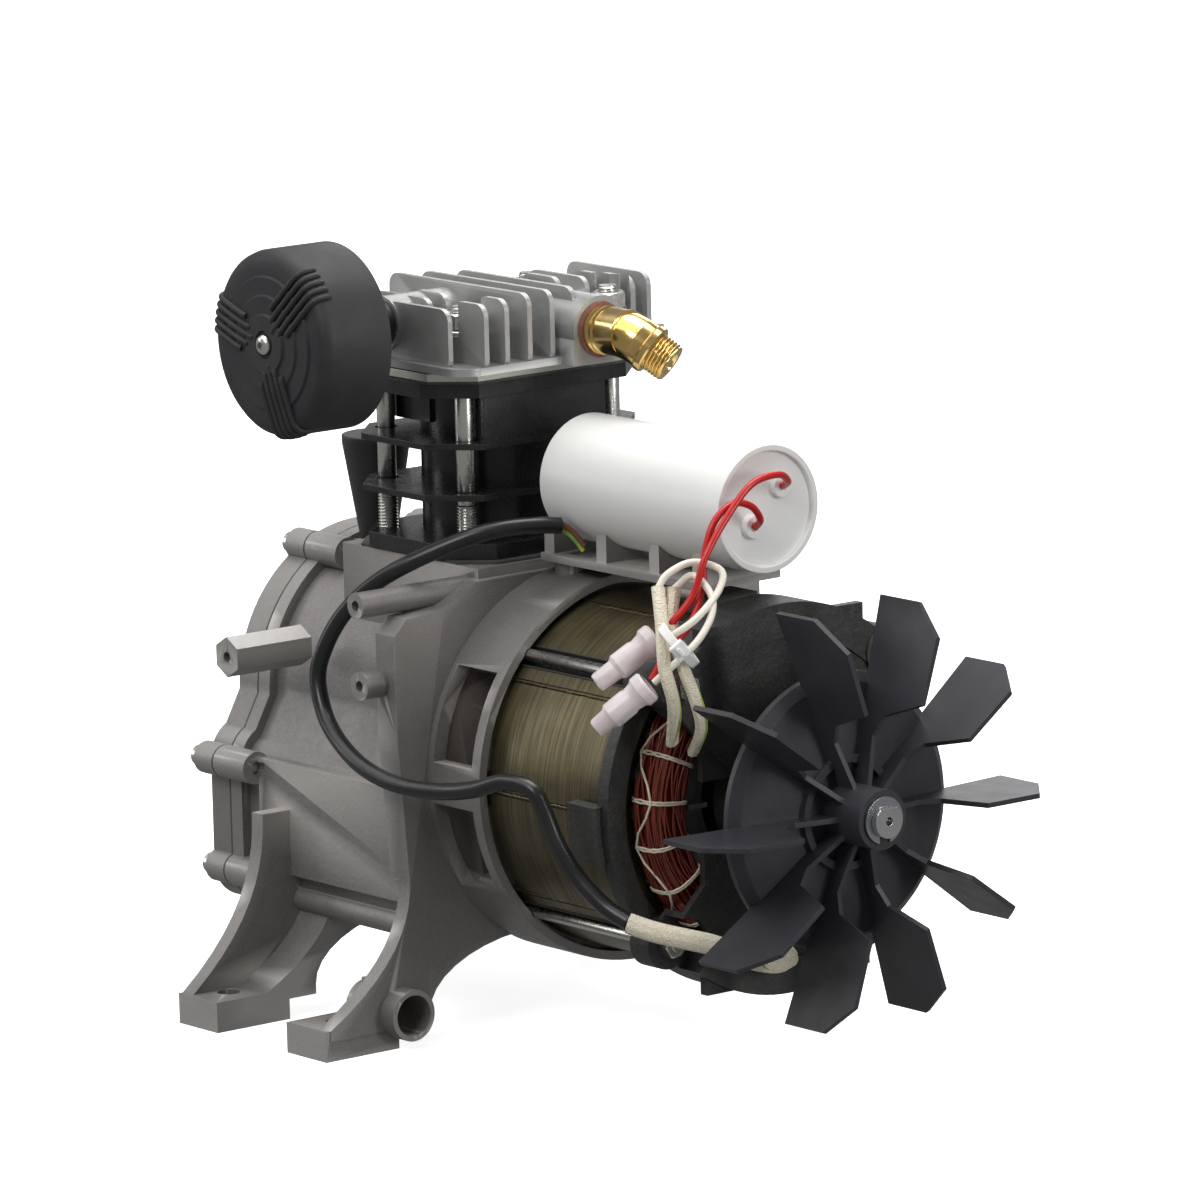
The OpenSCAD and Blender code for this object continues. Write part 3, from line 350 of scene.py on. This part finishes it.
# ---------------------------------------------------------------- mesh building
def onto(origin, axis, spin=0.0):
    """The matrix that puts a shape drawn along +Z at origin, along axis, turned by spin degrees."""
    turn = Vector(axis).to_track_quat("Z", "Y").to_matrix().to_4x4()
    return Matrix.Translation(Vector(origin)) @ turn @ Matrix.Rotation(math.radians(spin), 4, "Z")


def circle(radius, height, steps):
    return [(radius * math.cos(2 * math.pi * k / steps), radius * math.sin(2 * math.pi * k / steps), height)
            for k in range(steps)]


class Shape:
    """A mesh that grows from closed solids given in millimetres."""

    def __init__(self):
        self.bm = bmesh.new()

    def grid(self, rows, matrix, closed_ring=True, cap=True):
        """Rows of points joined by quads. Each row is a ring, and the two end rings are filled."""
        made = [[self.bm.verts.new(matrix @ Vector(p)) for p in row] for row in rows]
        for a, b in zip(made, made[1:]):
            count = len(a)
            for i in range(count if closed_ring else count - 1):
                j = (i + 1) % count
                self.bm.faces.new((a[i], a[j], b[j], b[i]))
        if cap:
            self.bm.faces.new(list(reversed(made[0])))
            self.bm.faces.new(made[-1])

    def lathe(self, profile, matrix=Matrix(), steps=48, radius_at=None):
        """A closed profile of (radius, height) turned about Z. radius_at(radius, angle) may change it."""
        rings = []
        for step in range(steps):
            angle = 2 * math.pi * step / steps
            row = []
            for radius, height in profile:
                r = radius_at(radius, angle) if radius_at else radius
                row.append(matrix @ Vector((r * math.cos(angle), r * math.sin(angle), height)))
            rings.append([self.bm.verts.new(p) for p in row])
        self.join_round(rings)

    def join_round(self, rings):
        """Quads between neighbouring rings of vertices, with the last ring joined to the first."""
        count = len(rings[0])
        for step, a in enumerate(rings):
            b = rings[(step + 1) % len(rings)]
            for i in range(count):
                j = (i + 1) % count
                self.bm.faces.new((a[i], b[i], b[j], a[j]))

    def disc_lathe(self, profile, matrix=Matrix(), steps=48):
        """An open profile of (radius, height) turned about Z, with flat ends: first row low, last high."""
        self.grid([circle(radius, height, steps) for radius, height in profile], matrix)

    def block(self, corner, size, matrix=Matrix()):
        x0, y0, z0 = corner
        x1, y1, z1 = (corner[i] + size[i] for i in range(3))
        self.grid([[(x0, y0, z0), (x1, y0, z0), (x1, y1, z0), (x0, y1, z0)],
                   [(x0, y0, z1), (x1, y0, z1), (x1, y1, z1), (x0, y1, z1)]], matrix)

    def band(self, r0, r1, start, end, z0, z1, matrix=Matrix(), steps=14):
        """A piece of a flat ring between two angles in degrees."""
        rows = []
        for step in range(steps + 1):
            angle = math.radians(start + (end - start) * step / steps)
            c, s = math.cos(angle), math.sin(angle)
            rows.append([(r0 * c, r0 * s, z0), (r0 * c, r0 * s, z1), (r1 * c, r1 * s, z1), (r1 * c, r1 * s, z0)])
        self.grid(rows, matrix)

    def thread(self, length, r, pitch, depth, matrix=Matrix(), steps=28, per_turn=6):
        """A rod with a helical thread and small end chamfers."""
        rows = []
        count = int(length / pitch * per_turn)
        for i in range(count + 1):
            z = length * i / count
            row = []
            for k in range(steps):
                turn = k / steps
                phase = (z / pitch - turn) % 1.0
                crest = abs(2 * phase - 1)
                end = min(1.0, (min(z, length - z) + 0.15) / (0.8 * pitch))
                radius = r - depth * (1 - min(1, 1.3 * crest) * end)
                row.append((radius * math.cos(2 * math.pi * turn), radius * math.sin(2 * math.pi * turn), z))
            rows.append(row)
        self.grid(rows, matrix)

    def nut(self, across, height, bore, matrix=Matrix(), steps=36):
        """A hexagon with chamfered corners on both faces and a chamfered bore."""
        flat = across / 2
        face = flat * 0.96
        rings = []
        for k in range(steps):
            angle = 2 * math.pi * k / steps
            hexagon = flat / math.cos((angle % (math.pi / 3)) - math.pi / 6)
            drop = max(0.0, hexagon - face) * 0.6
            profile = [(bore + 0.4, 0), (face, 0), (hexagon, drop), (hexagon, height - drop), (face, height),
                       (bore + 0.4, height), (bore, height - 0.4), (bore, 0.4)]
            rings.append([self.bm.verts.new(matrix @ Vector((r * math.cos(angle), r * math.sin(angle), z)))
                          for r, z in profile])
        self.join_round(rings)

    def strand(self, points, radius, sides=8, closed=False):
        """A round bar through points."""
        count = len(points)
        points = [Vector(p) for p in points]
        side = None
        rows = []
        for i, p in enumerate(points):
            ahead = points[(i + 1) % count] if closed else points[min(i + 1, count - 1)]
            behind = points[i - 1] if closed else points[max(i - 1, 0)]
            along = (ahead - behind).normalized()
            if side is None:
                side = along.orthogonal().normalized()
            side = (side - along * side.dot(along)).normalized()
            other = along.cross(side)
            rows.append([p + (side * math.cos(2 * math.pi * k / sides) + other * math.sin(2 * math.pi * k / sides))
                         * radius for k in range(sides)])
        if closed:
            rows.append(rows[0])
        self.grid(rows, Matrix(), cap=not closed)

    def finish(self, name, body, slot, replaces=(), material=None, bevel=0.0, smooth=35):
        """The object in metres, riding on its body."""
        bmesh.ops.remove_doubles(self.bm, verts=self.bm.verts, dist=0.0005)
        bmesh.ops.recalc_face_normals(self.bm, faces=self.bm.faces)
        self.bm.transform(Matrix.Scale(MM, 4))
        mesh = bpy.data.meshes.new(name)
        self.bm.to_mesh(mesh)
        self.bm.free()
        made = bpy.data.objects.new(name, mesh)
        bpy.context.scene.collection.objects.link(made)
        if bevel:
            round_edges(made, bevel)
        mesh.shade_smooth()
        mesh.set_sharp_from_angle(angle=math.radians(smooth))
        mesh.materials.append(MATERIALS[material or slot])
        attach(made, body)
        if replaces:
            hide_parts(*replaces)
        return made


def round_edges(obj, width, angle=40, segments=2):
    """Small rounds on every edge sharper than angle, with width in millimetres."""
    bevel = obj.modifiers.new("rounds", "BEVEL")
    bevel.width = width * MM
    bevel.segments = segments
    bevel.limit_method = "ANGLE"
    bevel.angle_limit = math.radians(angle)


def smooth_route(points, steps=6):
    """Points on a smooth curve through the given ones."""
    points = [Vector(p) for p in points]
    ends = [2 * points[0] - points[1]] + points + [2 * points[-1] - points[-2]]
    found = []
    for a, b, c, d in zip(ends, ends[1:], ends[2:], ends[3:]):
        for step in range(steps):
            t = step / steps
            found.append(0.5 * (2 * b + (c - a) * t + (2 * a - 5 * b + 4 * c - d) * t ** 2
                                + (3 * b - a - 3 * c + d) * t ** 3))
    return found + [points[-1]]


def cable(name, route, diameter, slot, material=None):
    """A round curve along a smooth route, in millimetres."""
    points = smooth_route(route)
    data = bpy.data.curves.new(name, "CURVE")
    data.dimensions = "3D"
    data.bevel_depth = diameter / 2 * MM
    data.bevel_resolution = 4
    data.use_fill_caps = True
    spline = data.splines.new("POLY")
    spline.points.add(len(points) - 1)
    for place, p in zip(spline.points, points):
        place.co = (p.x * MM, p.y * MM, p.z * MM, 1)
    spline.use_smooth = True
    made = bpy.data.objects.new(name, data)
    bpy.context.scene.collection.objects.link(made)
    data.materials.append(MATERIALS[material or slot])
    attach(made, HOUSING)
    return made, points


# ---------------------------------------------------------------- cords
POWER_ROUTE = [(163, -71, 64), (155, -74, 68), (148, -77, 74), (141, -80, 82), (135, -83, 93),
               (131, -85, 104), (126, -87, 112), (113, -90, 113), (100, -93, 109), (84, -95, 106),
               (68, -97, 105), (51, -98, 106), (34, -98, 110), (18, -96, 117), (7, -94, 126),
               (1, -92, 139), (4, -90, 151), (11, -87, 163), (21, -82, 174), (33, -75, 183),
               (47, -61, 192), (57, -48, 197), (64, -34, 198), (68, -24, 197)]
RED_FAR = [(164.5, 7, 220), (171, 4, 223), (175, -4, 227), (176, -18, 225), (176, -31, 213),
           (176, -41, 200), (175, -46, 187), (171, -53, 177), (165.5, -58, 170)]
RED_NEAR = [(164.5, -7, 206), (170, -9, 210), (172, -15, 216), (172, -24, 218), (172, -33, 212),
            (172, -38, 200), (173, -40, 189), (177, -49, 177), (175, -59, 167), (172.5, -65, 157)]
WHITE_FAR = [(168, -57, 168), (174, -57, 172), (181, -50, 179), (181, -39, 188), (178, -35, 195),
             (170, -42, 198), (165, -50, 194), (164, -54, 189)]
WHITE_NEAR = [(174, -65, 156), (181, -58, 165), (184, -51, 172), (183, -44, 180), (179, -41, 187),
              (170, -42, 193), (165, -47, 188)]
SLEEVE_FAR = [(164, -54, 189), (172, -59, 176), (178, -63, 162), (179, -60, 148), (169, -53, 131)]
SLEEVE_NEAR = [(165, -47, 188), (169, -52, 177), (178, -55, 163), (182, -52, 149), (179, -47, 137),
               (170, -44, 126)]
MOTOR_SLEEVE = [(164, -72, 64), (172, -66, 61), (178, -57, 58), (181, -45, 54), (181, -30, 47),
                (179, -14, 42), (177, -4, 43)]
CONNECTOR_FAR = ((166, -57, 171), (156, -78, 155))
CONNECTOR_NEAR = ((172, -66, 155), (160, -82, 139))
TIE_POINT = (174, -55, 168)
POWER_D = 6.6
LEAD_D = 2.8


def add_connector(name, ends):
    """A translucent stepped cap: wide mouth, neck, barrel and narrow tip."""
    start = Vector(ends[0])
    axis = Vector(ends[1]) - start
    length = axis.length
    shape = Shape()
    shape.lathe([(1.9, 2.0), (5.5, 0.0), (6.35, 0.9), (6.3, 4.2), (5.3, 5.4), (4.7, 8.5), (5.2, 10), (5.2, 18),
                 (4.0, 19.6), (3.8, length - 1), (3.3, length), (2.3, length), (1.9, length - 3)],
                onto(start, axis), steps=40)
    return shape.finish(name, HOUSING, "clear_cap", ["lead_connectors"])


def add_crimp(name, ends):
    """The crimped barrel inside a cap, which shows pink through it."""
    start = Vector(ends[0])
    axis = Vector(ends[1]) - start
    shape = Shape()
    shape.disc_lathe([(0.8, 6), (1.6, 6.4), (1.7, 9), (1.3, 10), (1.3, 12), (1.7, 13), (1.6, 18), (0.8, 18.4)],
                     onto(start, axis), steps=16)
    return shape.finish(name, HOUSING, "clear_cap", material="red_wire")


def add_leads():
    """Red leads from the capacitor and white ones from the windings, crimped in pairs."""
    cap_far = add_connector("connector_far", CONNECTOR_FAR)
    cap_near = add_connector("connector_near", CONNECTOR_NEAR)
    crimps = [add_crimp("crimp_far", CONNECTOR_FAR), add_crimp("crimp_near", CONNECTOR_NEAR)]
    cords = [("red_lead_far", RED_FAR, "red_wire", "red_leads", "connector", [cap_far, crimps[0]]),
             ("red_lead_near", RED_NEAR, "red_wire", "red_leads", "connector", [cap_near, crimps[1]]),
             ("white_lead_far", WHITE_FAR, "white_wire", "white_leads", "object", []),
             ("white_lead_near", WHITE_NEAR, "white_wire", "white_leads", "object", [])]
    for name, route, slot, node, far_end, with_pieces in cords:
        piece, points = cable(name, route, LEAD_D, slot)
        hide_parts(node)


def add_power_lead():
    """The mains lead: out of its sleeve at the motor, round the crankcase, bare cores behind the can."""
    piece, points = cable("mains_lead", POWER_ROUTE, POWER_D, "black_cable")
    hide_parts("power_lead")
    end = Vector(POWER_ROUTE[-1])
    ahead = (end - Vector(POWER_ROUTE[-2])).normalized()
    for name, side, lift in (("blue_core", -1.3, 0.9), ("brown_core", 1.3, 0.9), ("green_core", 0, -1.2)):
        across = ahead.cross(Vector((0, 0, 1))).normalized() * side + Vector((0, 0, lift))
        start = end + across - ahead * 4
        route = [start, start + ahead * 4, start + ahead * 8 + Vector((1, 0, -3)),
                 start + ahead * 11 + Vector((3, 0, -8))]
        core, _ = cable(name, route, 2.1, "black_cable", material=name)


def braid(shape, points, half_width, half_thick, weave=2.4, height=0.16, sides=36, step=0.5):
    """An oval braided sleeve along a route: the strands cross over each other as small diamonds."""
    points = smooth_route(points, 12)
    dense = [points[0]]
    for p in points[1:]:
        while (p - dense[-1]).length > step:
            dense.append(dense[-1] + (p - dense[-1]).normalized() * step)
    side = None
    rows = []
    for i, p in enumerate(dense):
        along = (dense[min(i + 1, len(dense) - 1)] - dense[max(i - 1, 0)]).normalized()
        if side is None:
            side = along.cross(Vector((1, 0, 0))).normalized()
        side = (side - along * side.dot(along)).normalized()
        other = along.cross(side)
        place = i * step / weave * 2 * math.pi
        row = []
        for k in range(sides):
            angle = 2 * math.pi * k / sides
            bump = height * math.sin(4 * angle + place) * math.sin(4 * angle - place)
            row.append(p + side * math.cos(angle) * (half_width + bump)
                       + other * math.sin(angle) * (half_thick + bump))
        rows.append(row)
    shape.grid(rows, Matrix())
    return dense


def add_sleeves():
    """Braided sleeves over the winding ends and over the mains cores, with a green tracer thread."""
    tracer_points = []
    shape = Shape()
    for route in (SLEEVE_FAR, SLEEVE_NEAR):
        tracer_points.append((braid(shape, route, 2.9, 2.1), 2.55))
    shape.finish("braided_sleeves", HOUSING, "woven_sleeve", ["winding_sleeves"], smooth=60)
    shape = Shape()
    tracer_points.append((braid(shape, MOTOR_SLEEVE, 4.0, 3.2), 3.7))
    shape.finish("mains_sleeve", HOUSING, "woven_sleeve", ["motor_sleeve"], smooth=60)
    shape = Shape()
    for dense, radius in tracer_points:
        thread = []
        for i, p in enumerate(dense[:-1]):
            along = (dense[i + 1] - p).normalized()
            side = along.cross(Vector((0, 0.3, 1))).normalized()
            other = along.cross(side)
            angle = 0.9 + 0.05 * i
            thread.append(p + side * math.cos(angle) * radius + other * math.sin(angle) * radius * 0.86)
        shape.strand(thread[::2], 0.3, sides=6)
    shape.finish("tracer_threads", HOUSING, "woven_sleeve", material="green_core")


def add_cable_tie():
    """A nylon strap round the leads with its ratchet head and a cut tail."""
    turn = Matrix.Rotation(math.radians(55), 4, "Z") @ Matrix.Rotation(math.radians(50), 4, "Y")
    matrix = Matrix.Translation(Vector(TIE_POINT)) @ turn
    shape = Shape()
    shape.lathe([(9.5, 0.2), (9.7, 0), (10.3, 0), (10.5, 0.2), (10.5, 3.3), (10.3, 3.5), (9.7, 3.5), (9.5, 3.3)],
                matrix, steps=72)
    for k in range(60):
        spin = matrix @ Matrix.Rotation(math.radians(6 * k), 4, "Z")
        shape.block((9.45, -0.15, 0.9), (0.25, 0.3, 1.7), spin)
    shape.block((-3, -15, -1), (6, 5.2, 5.5), matrix)
    shape.block((-1.8, -17, 1), (3.6, 2.4, 1.3), matrix)
    shape.finish("tie_strap", HOUSING, "white_nylon", ["cable_tie"], bevel=0.15)


# ---------------------------------------------------------------- fasteners
STUD_R = 3.95
STUD_PITCH = 1.25
STUD_THREAD_DEPTH = 0.62


def centres(node, reach):
    """Middles of a node's separate pieces that lie at its outer corners: four of them, in X and Y."""
    lowest, highest = low(node), high(node)
    return [(x, y) for x in (lowest.x + reach, highest.x - reach) for y in (lowest.y + reach, highest.y - reach)]


def add_studs():
    """Four head studs: threaded ends with a plain shank between them."""
    bottom, top = low("head_studs").z, high("head_studs").z
    lower_thread = 37
    upper_thread = 22
    shape = Shape()
    for x, y in centres("head_studs", STUD_R):
        shape.thread(lower_thread, STUD_R, STUD_PITCH, STUD_THREAD_DEPTH, Matrix.Translation((x, y, bottom)))
        shape.disc_lathe([(3.3, bottom + lower_thread - 0.5), (3.6, bottom + lower_thread),
                          (3.6, top - upper_thread), (3.3, top - upper_thread + 0.5)],
                         Matrix.Translation((x, y, 0)), steps=28)
        shape.thread(upper_thread, STUD_R, STUD_PITCH, STUD_THREAD_DEPTH,
                     Matrix.Translation((x, y, top - upper_thread)))
    shape.finish("threaded_studs", HOUSING, "zinc_steel", ["head_studs"], smooth=50)


def add_head_nuts():
    """Hexagon nuts and turned washers on the studs."""
    bottom = low("head_nuts").z
    washer_low = low("head_washers").z
    shape = Shape()
    washers = Shape()
    for i, (x, y) in enumerate(centres("head_studs", STUD_R)):
        shape.nut(12.8, 6.5, 4.0, onto((x, y, bottom), (0, 0, 1), spin=17 + 23 * i))
        washers.lathe([(4.3, 0.2), (4.5, 0), (7.7, 0), (8, 0.3), (8, 1.6), (7.6, 2), (4.6, 2), (4.3, 1.8)],
                      Matrix.Translation((x, y, washer_low)))
    shape.finish("hex_nuts", HOUSING, "zinc_steel", ["head_nuts"], smooth=30)
    washers.finish("turned_washers", HOUSING, "zinc_steel", ["head_washers"])


def add_tie_rods():
    """Long bolts through the stator with threaded ends and their nuts."""
    start = low("tie_bolts").x
    half = 50
    rods = Shape()
    nuts = Shape()
    for y in (-half, half):
        for z in (-half, half):
            face = 172 if z > 0 else 160
            end = face + 6
            place = onto((start, y, shaft_z + z), (1, 0, 0))
            plain = end - start - 13
            rods.disc_lathe([(2.0, 0), (2.35, 0.4), (2.35, plain)], place, steps=24)
            rods.thread(13, 2.45, 0.8, 0.35, place @ Matrix.Translation((0, 0, plain)), steps=22, per_turn=5)
            nuts.nut(8.8, 5, 2.5, onto((face, y, shaft_z + z), (1, 0, 0), spin=11 + y + z / 3))
    # Black half-round strips behind the rods: painted shade in the stator's grooves.
    groove_shade = Shape()
    for y in (-half, half):
        for z in (-half, half):
            inward = math.degrees(math.atan2(z, y))
            turned = Matrix.Translation((start + 16, y, shaft_z + z)) @ Matrix(
                ((0, 0, 1, 0), (1, 0, 0, 0), (0, 1, 0, 0), (0, 0, 0, 1)))
            groove_shade.band(4.4, 4.9, inward + 95, inward + 265, 0, 76, turned)
    groove_shade.finish("groove_shade_strips", HOUSING, "zinc_steel", material="slot_paper_and_groove_shade")
    rods.finish("tie_rods", HOUSING, "zinc_steel", ["tie_bolts"], smooth=50)
    nuts.finish("tie_rod_nuts", HOUSING, "zinc_steel", ["tie_nuts"], smooth=30)


# ---------------------------------------------------------------- intake and outlet
def filter_face():
    """Local X is world X, local Y is up and local Z looks out of the filter's face."""
    centre = middle("filter_cover")
    front = -114
    return Matrix(((1, 0, 0, centre.x), (0, 0, -1, front), (0, 1, 0, centre.z), (0, 0, 0, 1)))


def add_filter():
    """A moulded cup with stepped rings and three arms of round ribs that run over its rim."""
    face = filter_face()
    shape = Shape()
    shape.lathe([(3.0, 0.9), (5.0, 0.9), (5.4, 1.9), (11.2, 1.9), (12.0, 1.1), (18.4, 1.1), (19.2, 0.4),
                 (25.6, 0.3), (26.4, -0.5), (31.0, -0.6), (33.6, -1.3), (35.3, -3.0), (36.0, -5.6),
                 (36.0, -32), (34.2, -32), (34.0, -5), (32, -3.2), (3.0, -3.0)], face, steps=96)
    ribs = Shape()
    for arm in (45, 165, 285):
        turn = face @ Matrix.Rotation(math.radians(arm), 4, "Z")
        for step, across in enumerate((-6.6, -3.3, 0, 3.3, 6.6)):
            start = (13.5, 10.0, 7.5, 10.0, 13.5)[step]
            rim = math.sqrt(36.0 ** 2 - across ** 2)
            path = [(start, across, 1.1), (start + 2, across, 1.3), (19, across, 0.9), (26, across, 0.1),
                    (rim - 4.2, across, -0.7), (rim - 1.6, across, -1.9), (rim - 0.2, across, -4.2),
                    (rim - 0.1, across, -7.0), (rim - 0.8, across, -8.2)]
            ribs.strand([turn @ Vector(p) for p in smooth_route(path, 4)], 1.25, sides=14)
    shape.finish("filter_cup", HOUSING, "filter_plastic", ["filter_cover"], smooth=40)
    ribs.finish("filter_ribs", HOUSING, "filter_plastic", smooth=60)
    add_filter_screw(face)


def add_filter_screw(face):
    """Pan head with a small central pit, and a cross of darker metal set into it as painted shade of the cross slot.
    """
    shape = Shape()
    shape.disc_lathe([(2.1, -31), (2.1, 1.0), (4.0, 1.0), (4.0, 1.9), (3.6, 2.8), (2.6, 3.5), (1.3, 3.7), (1.2, 2.6)],
                     face, steps=28)
    # A cross of darker metal on the head: painted shade of the cross slot.
    recess_shade = Shape()
    for spin in (20, 110):
        recess_shade.block((-1.9, -0.35, 3.0), (3.8, 0.7, 0.72), face @ Matrix.Rotation(math.radians(spin), 4, "Z"))
    shape.finish("pan_screw", HOUSING, "zinc_steel", ["filter_screw"])
    recess_shade.finish("cross_recess_shade", HOUSING, "zinc_steel", material="crank_iron")


def add_outlet():
    """The brass elbow with its thread rings, and the dried sealant round its root."""
    corner = Vector((73, 8, 268))
    leg = Vector((0.7071, 0.4353, -0.5572))
    root = onto((55, 8, 268), (1, 0, 0))
    shape = Shape()
    shape.lathe([(4.5, -11.8), (7.4, -11.8), (7.9, -11), (7.9, 0.8), (9.0, 1.3), (9.6, 2.0), (9.6, 2.9),
                 (8.8, 3.5), (8.8, 4.1), (9.6, 4.7), (9.6, 5.6), (8.8, 6.2), (8.8, 6.8), (9.4, 7.5), (9.3, 18),
                 (4.5, 18)], root, steps=56)
    bend = Shape()
    turn_points = []
    for step in range(9):
        t = step / 8
        turn_points.append(corner + Vector((-8, 0, 0)) * (1 - t) ** 2 + leg * 8 * t ** 2)
    bend.strand(turn_points, 9.3, sides=48)
    bend.finish("elbow_bend", HOUSING, "brass", smooth=60)
    out = onto(corner, leg)
    shape.lathe([(4.5, 4), (9.3, 4), (9.3, 8.2), (9.9, 8.8), (9.9, 11.0), (9.3, 11.6), (7.6, 11.6), (7.6, 12.2),
                 (4.5, 12.2)], out, steps=56)
    shape.finish("elbow_body", HOUSING, "brass", ["outlet_elbow"], smooth=40)
    tip = Shape()
    rows = []
    pitch, first, last, steps, per_turn = 1.5, 11.8, 20.0, 48, 8
    count = int((last - first) / pitch * per_turn)
    for i in range(count + 1):
        z = first + (last - first) * i / count
        row = []
        for k in range(steps):
            phase = abs(2 * ((z / pitch - k / steps) % 1.0) - 1)
            fade = min(1.0, (last - z + 0.1) / pitch)
            radius = 8.0 - 0.75 * (1 - min(1, 1.25 * phase) * fade)
            angle = 2 * math.pi * k / steps
            row.append((radius * math.cos(angle), radius * math.sin(angle), z))
        rows.append(row)
    for radius, z in ((4.9, last), (4.5, last - 0.5), (4.5, first)):
        rows.append(circle(radius, z, steps))
    rows.append(rows[0])
    tip.grid(rows, out, cap=False)
    tip.finish("elbow_thread", HOUSING, "brass", smooth=50)
    rough = random.Random(5)
    wobble = [0.25 * rough.random() for _ in range(56)]
    seal = Shape()
    seal.lathe([(8.2, 0), (10.6, 0), (11.0, 0.5), (10.4, 1.2), (9.2, 1.5), (8.2, 1.4)], root, steps=56,
               radius_at=lambda r, angle: r - wobble[int(angle / 2 / math.pi * 56) % 56])
    seal.finish("sealant_bead", HOUSING, "thread_sealant", ["outlet_seal_ring"], smooth=70)


# ---------------------------------------------------------------- motor
def bundle_point(x, angle, section, size):
    """A point on the rounded section of an end turn at x, at an angle about the shaft."""
    c, s = math.cos(section), math.sin(section)
    u = math.copysign(abs(c) ** 0.7, c) * size
    v = math.copysign(abs(s) ** 0.7, s) * size
    radius = 50.5 + v
    return Vector((x + u, radius * math.sin(angle), shaft_z + radius * math.cos(angle)))


def add_windings():
    """End turns of many wires with laced cord round them, slot liners, and the wires in the slots."""
    rough = random.Random(11)
    x0, x1 = low("stator_core").x, high("stator_core").x
    wires = Shape()
    lace = Shape()
    paper = Shape()
    strands = 56
    turns = 72
    slots = 24
    for end_x, out in ((x0 - 9, -1), (x1 + 9, 1)):
        core = []
        for step in range(turns + 1):
            angle = 2 * math.pi * step / turns
            core.append([bundle_point(end_x, angle, 2 * math.pi * k / 16, 7.6) for k in range(16)])
        wires.grid(core, Matrix(), cap=False)
        for j in range(strands):
            drift = rough.uniform(-0.5, 0.5)
            wave = rough.uniform(0, 6.28)
            depth = rough.uniform(7.9, 8.5)
            path = []
            for step in range(turns + 1):
                angle = 2 * math.pi * step / turns
                section = 2 * math.pi * j / strands + angle * 0.35 + 0.10 * math.sin(6 * angle + wave)
                path.append(bundle_point(end_x, angle, section, depth + 0.3 * math.sin(9 * angle + drift * 9)))
            wires.strand(path, 0.5, sides=6)
        stitches = 20
        knots = []
        for k in range(stitches):
            angle = 2 * math.pi * (k + 0.3) / stitches
            for gap in (-0.008, 0.008):
                ring = [bundle_point(end_x, angle + gap * (1 + 0.4 * math.sin(3 * t)), 2 * math.pi * t / 28, 9.1)
                        for t in range(28)]
                lace.strand(ring, 0.42, sides=6, closed=True)
            section = math.pi / 2 + (0.5 if k % 2 else -0.4) * -out
            knots.append(bundle_point(end_x, angle, section, 9.5))
        knots.append(knots[0])
        lace.strand(smooth_route(knots, 3), 0.5, sides=6)
        for k in range(slots):
            turn = Matrix.Translation((0, 0, shaft_z)) @ Matrix.Rotation(2 * math.pi * k / slots, 4, "X")
            start = x1 - 1 if out > 0 else x0 - 3.4
            paper.block((start, -2.7, 43.3), (4.4, 5.4, 15.4), turn)
    for k in range(slots):
        turn = Matrix.Translation((0, 0, shaft_z)) @ Matrix.Rotation(2 * math.pi * k / slots, 4, "X")
        wires.block((x0 - 0.5, -2.1, 43.4), (x1 - x0 + 1, 4.2, 14.2), turn)
    wires.finish("wire_bundles", HOUSING, "copper_wire", ["windings"], smooth=70)
    lace.finish("lacing", HOUSING, "copper_wire", material="lacing_cord", smooth=70)
    paper.finish("slot_liners", HOUSING, "copper_wire", material="slot_paper_and_groove_shade", bevel=0.8)


def add_weld_seams():
    """Welds along the outside of the stator's sheets."""
    rough = random.Random(3)
    x0, x1 = low("stator_core").x, high("stator_core").x
    shape = Shape()
    for degrees in range(18, 360, 36):
        angle = math.radians(degrees)
        path = []
        count = 60
        for i in range(count + 1):
            x = x0 + 0.6 + (x1 - x0 - 1.2) * i / count
            radius = stator_r - 0.45 + rough.uniform(-0.12, 0.12)
            swing = rough.uniform(-0.003, 0.003)
            path.append((x, -radius * math.sin(angle + swing), shaft_z + radius * math.cos(angle + swing)))
        shape.strand(path, 0.62, sides=10)
    shape.finish("weld_seams", HOUSING, "lamination", smooth=70)


# ---------------------------------------------------------------- carried-over nodes
ROUNDS = {"crankcase": 0.7, "end_cover": 0.8, "cylinder": 0.6, "cylinder_head": 0.45, "end_bell": 1.0,
          "fan": 0.25, "capacitor": 0.5, "capacitor_cradle": 0.3, "valve_plate": 0.2, "filter_base": 0.5,
          "inlet_neck": 0.4, "breather_plug": 0.6, "cover_screws": 0.25, "drain_plug": 0.3,
          "oil_sight_glass": 0.3, "crankshaft": 0.3, "crank_web": 0.5, "connecting_rod": 0.4, "piston": 0.3,
          "cradle_screws": 0.2, "crank_pin_bolt": 0.25, "rotor_end_rings": 0.3, "fan_clip": 0.1}


def dress_nodes():
    """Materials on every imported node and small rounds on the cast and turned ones."""
    crease = math.radians(32)
    slots = {part["node"]: part["material_slot"] for part in frame["record"]["subparts"]}
    for name, obj in nodes.items():
        obj.data.materials.clear()
        obj.data.materials.append(MATERIALS[slots[name]])
        if name in ROUNDS:
            weld = obj.modifiers.new("weld", "WELD")
            weld.merge_threshold = 0.00001
            flatten = obj.modifiers.new("flatten", "DECIMATE")
            flatten.decimate_type = "DISSOLVE"
            flatten.angle_limit = math.radians(0.6)
            round_edges(obj, ROUNDS[name], angle=32)
            even = obj.modifiers.new("even", "WEIGHTED_NORMAL")
            even.weight = 100
            even.keep_sharp = True
        obj.data.set_sharp_from_angle(angle=crease)


add_camera()
add_leads()
add_power_lead()
add_studio()
add_floor()
add_sleeves()
add_cable_tie()
add_studs()
add_head_nuts()
add_tie_rods()
add_filter()
add_outlet()
add_windings()
add_weld_seams()
dress_nodes()
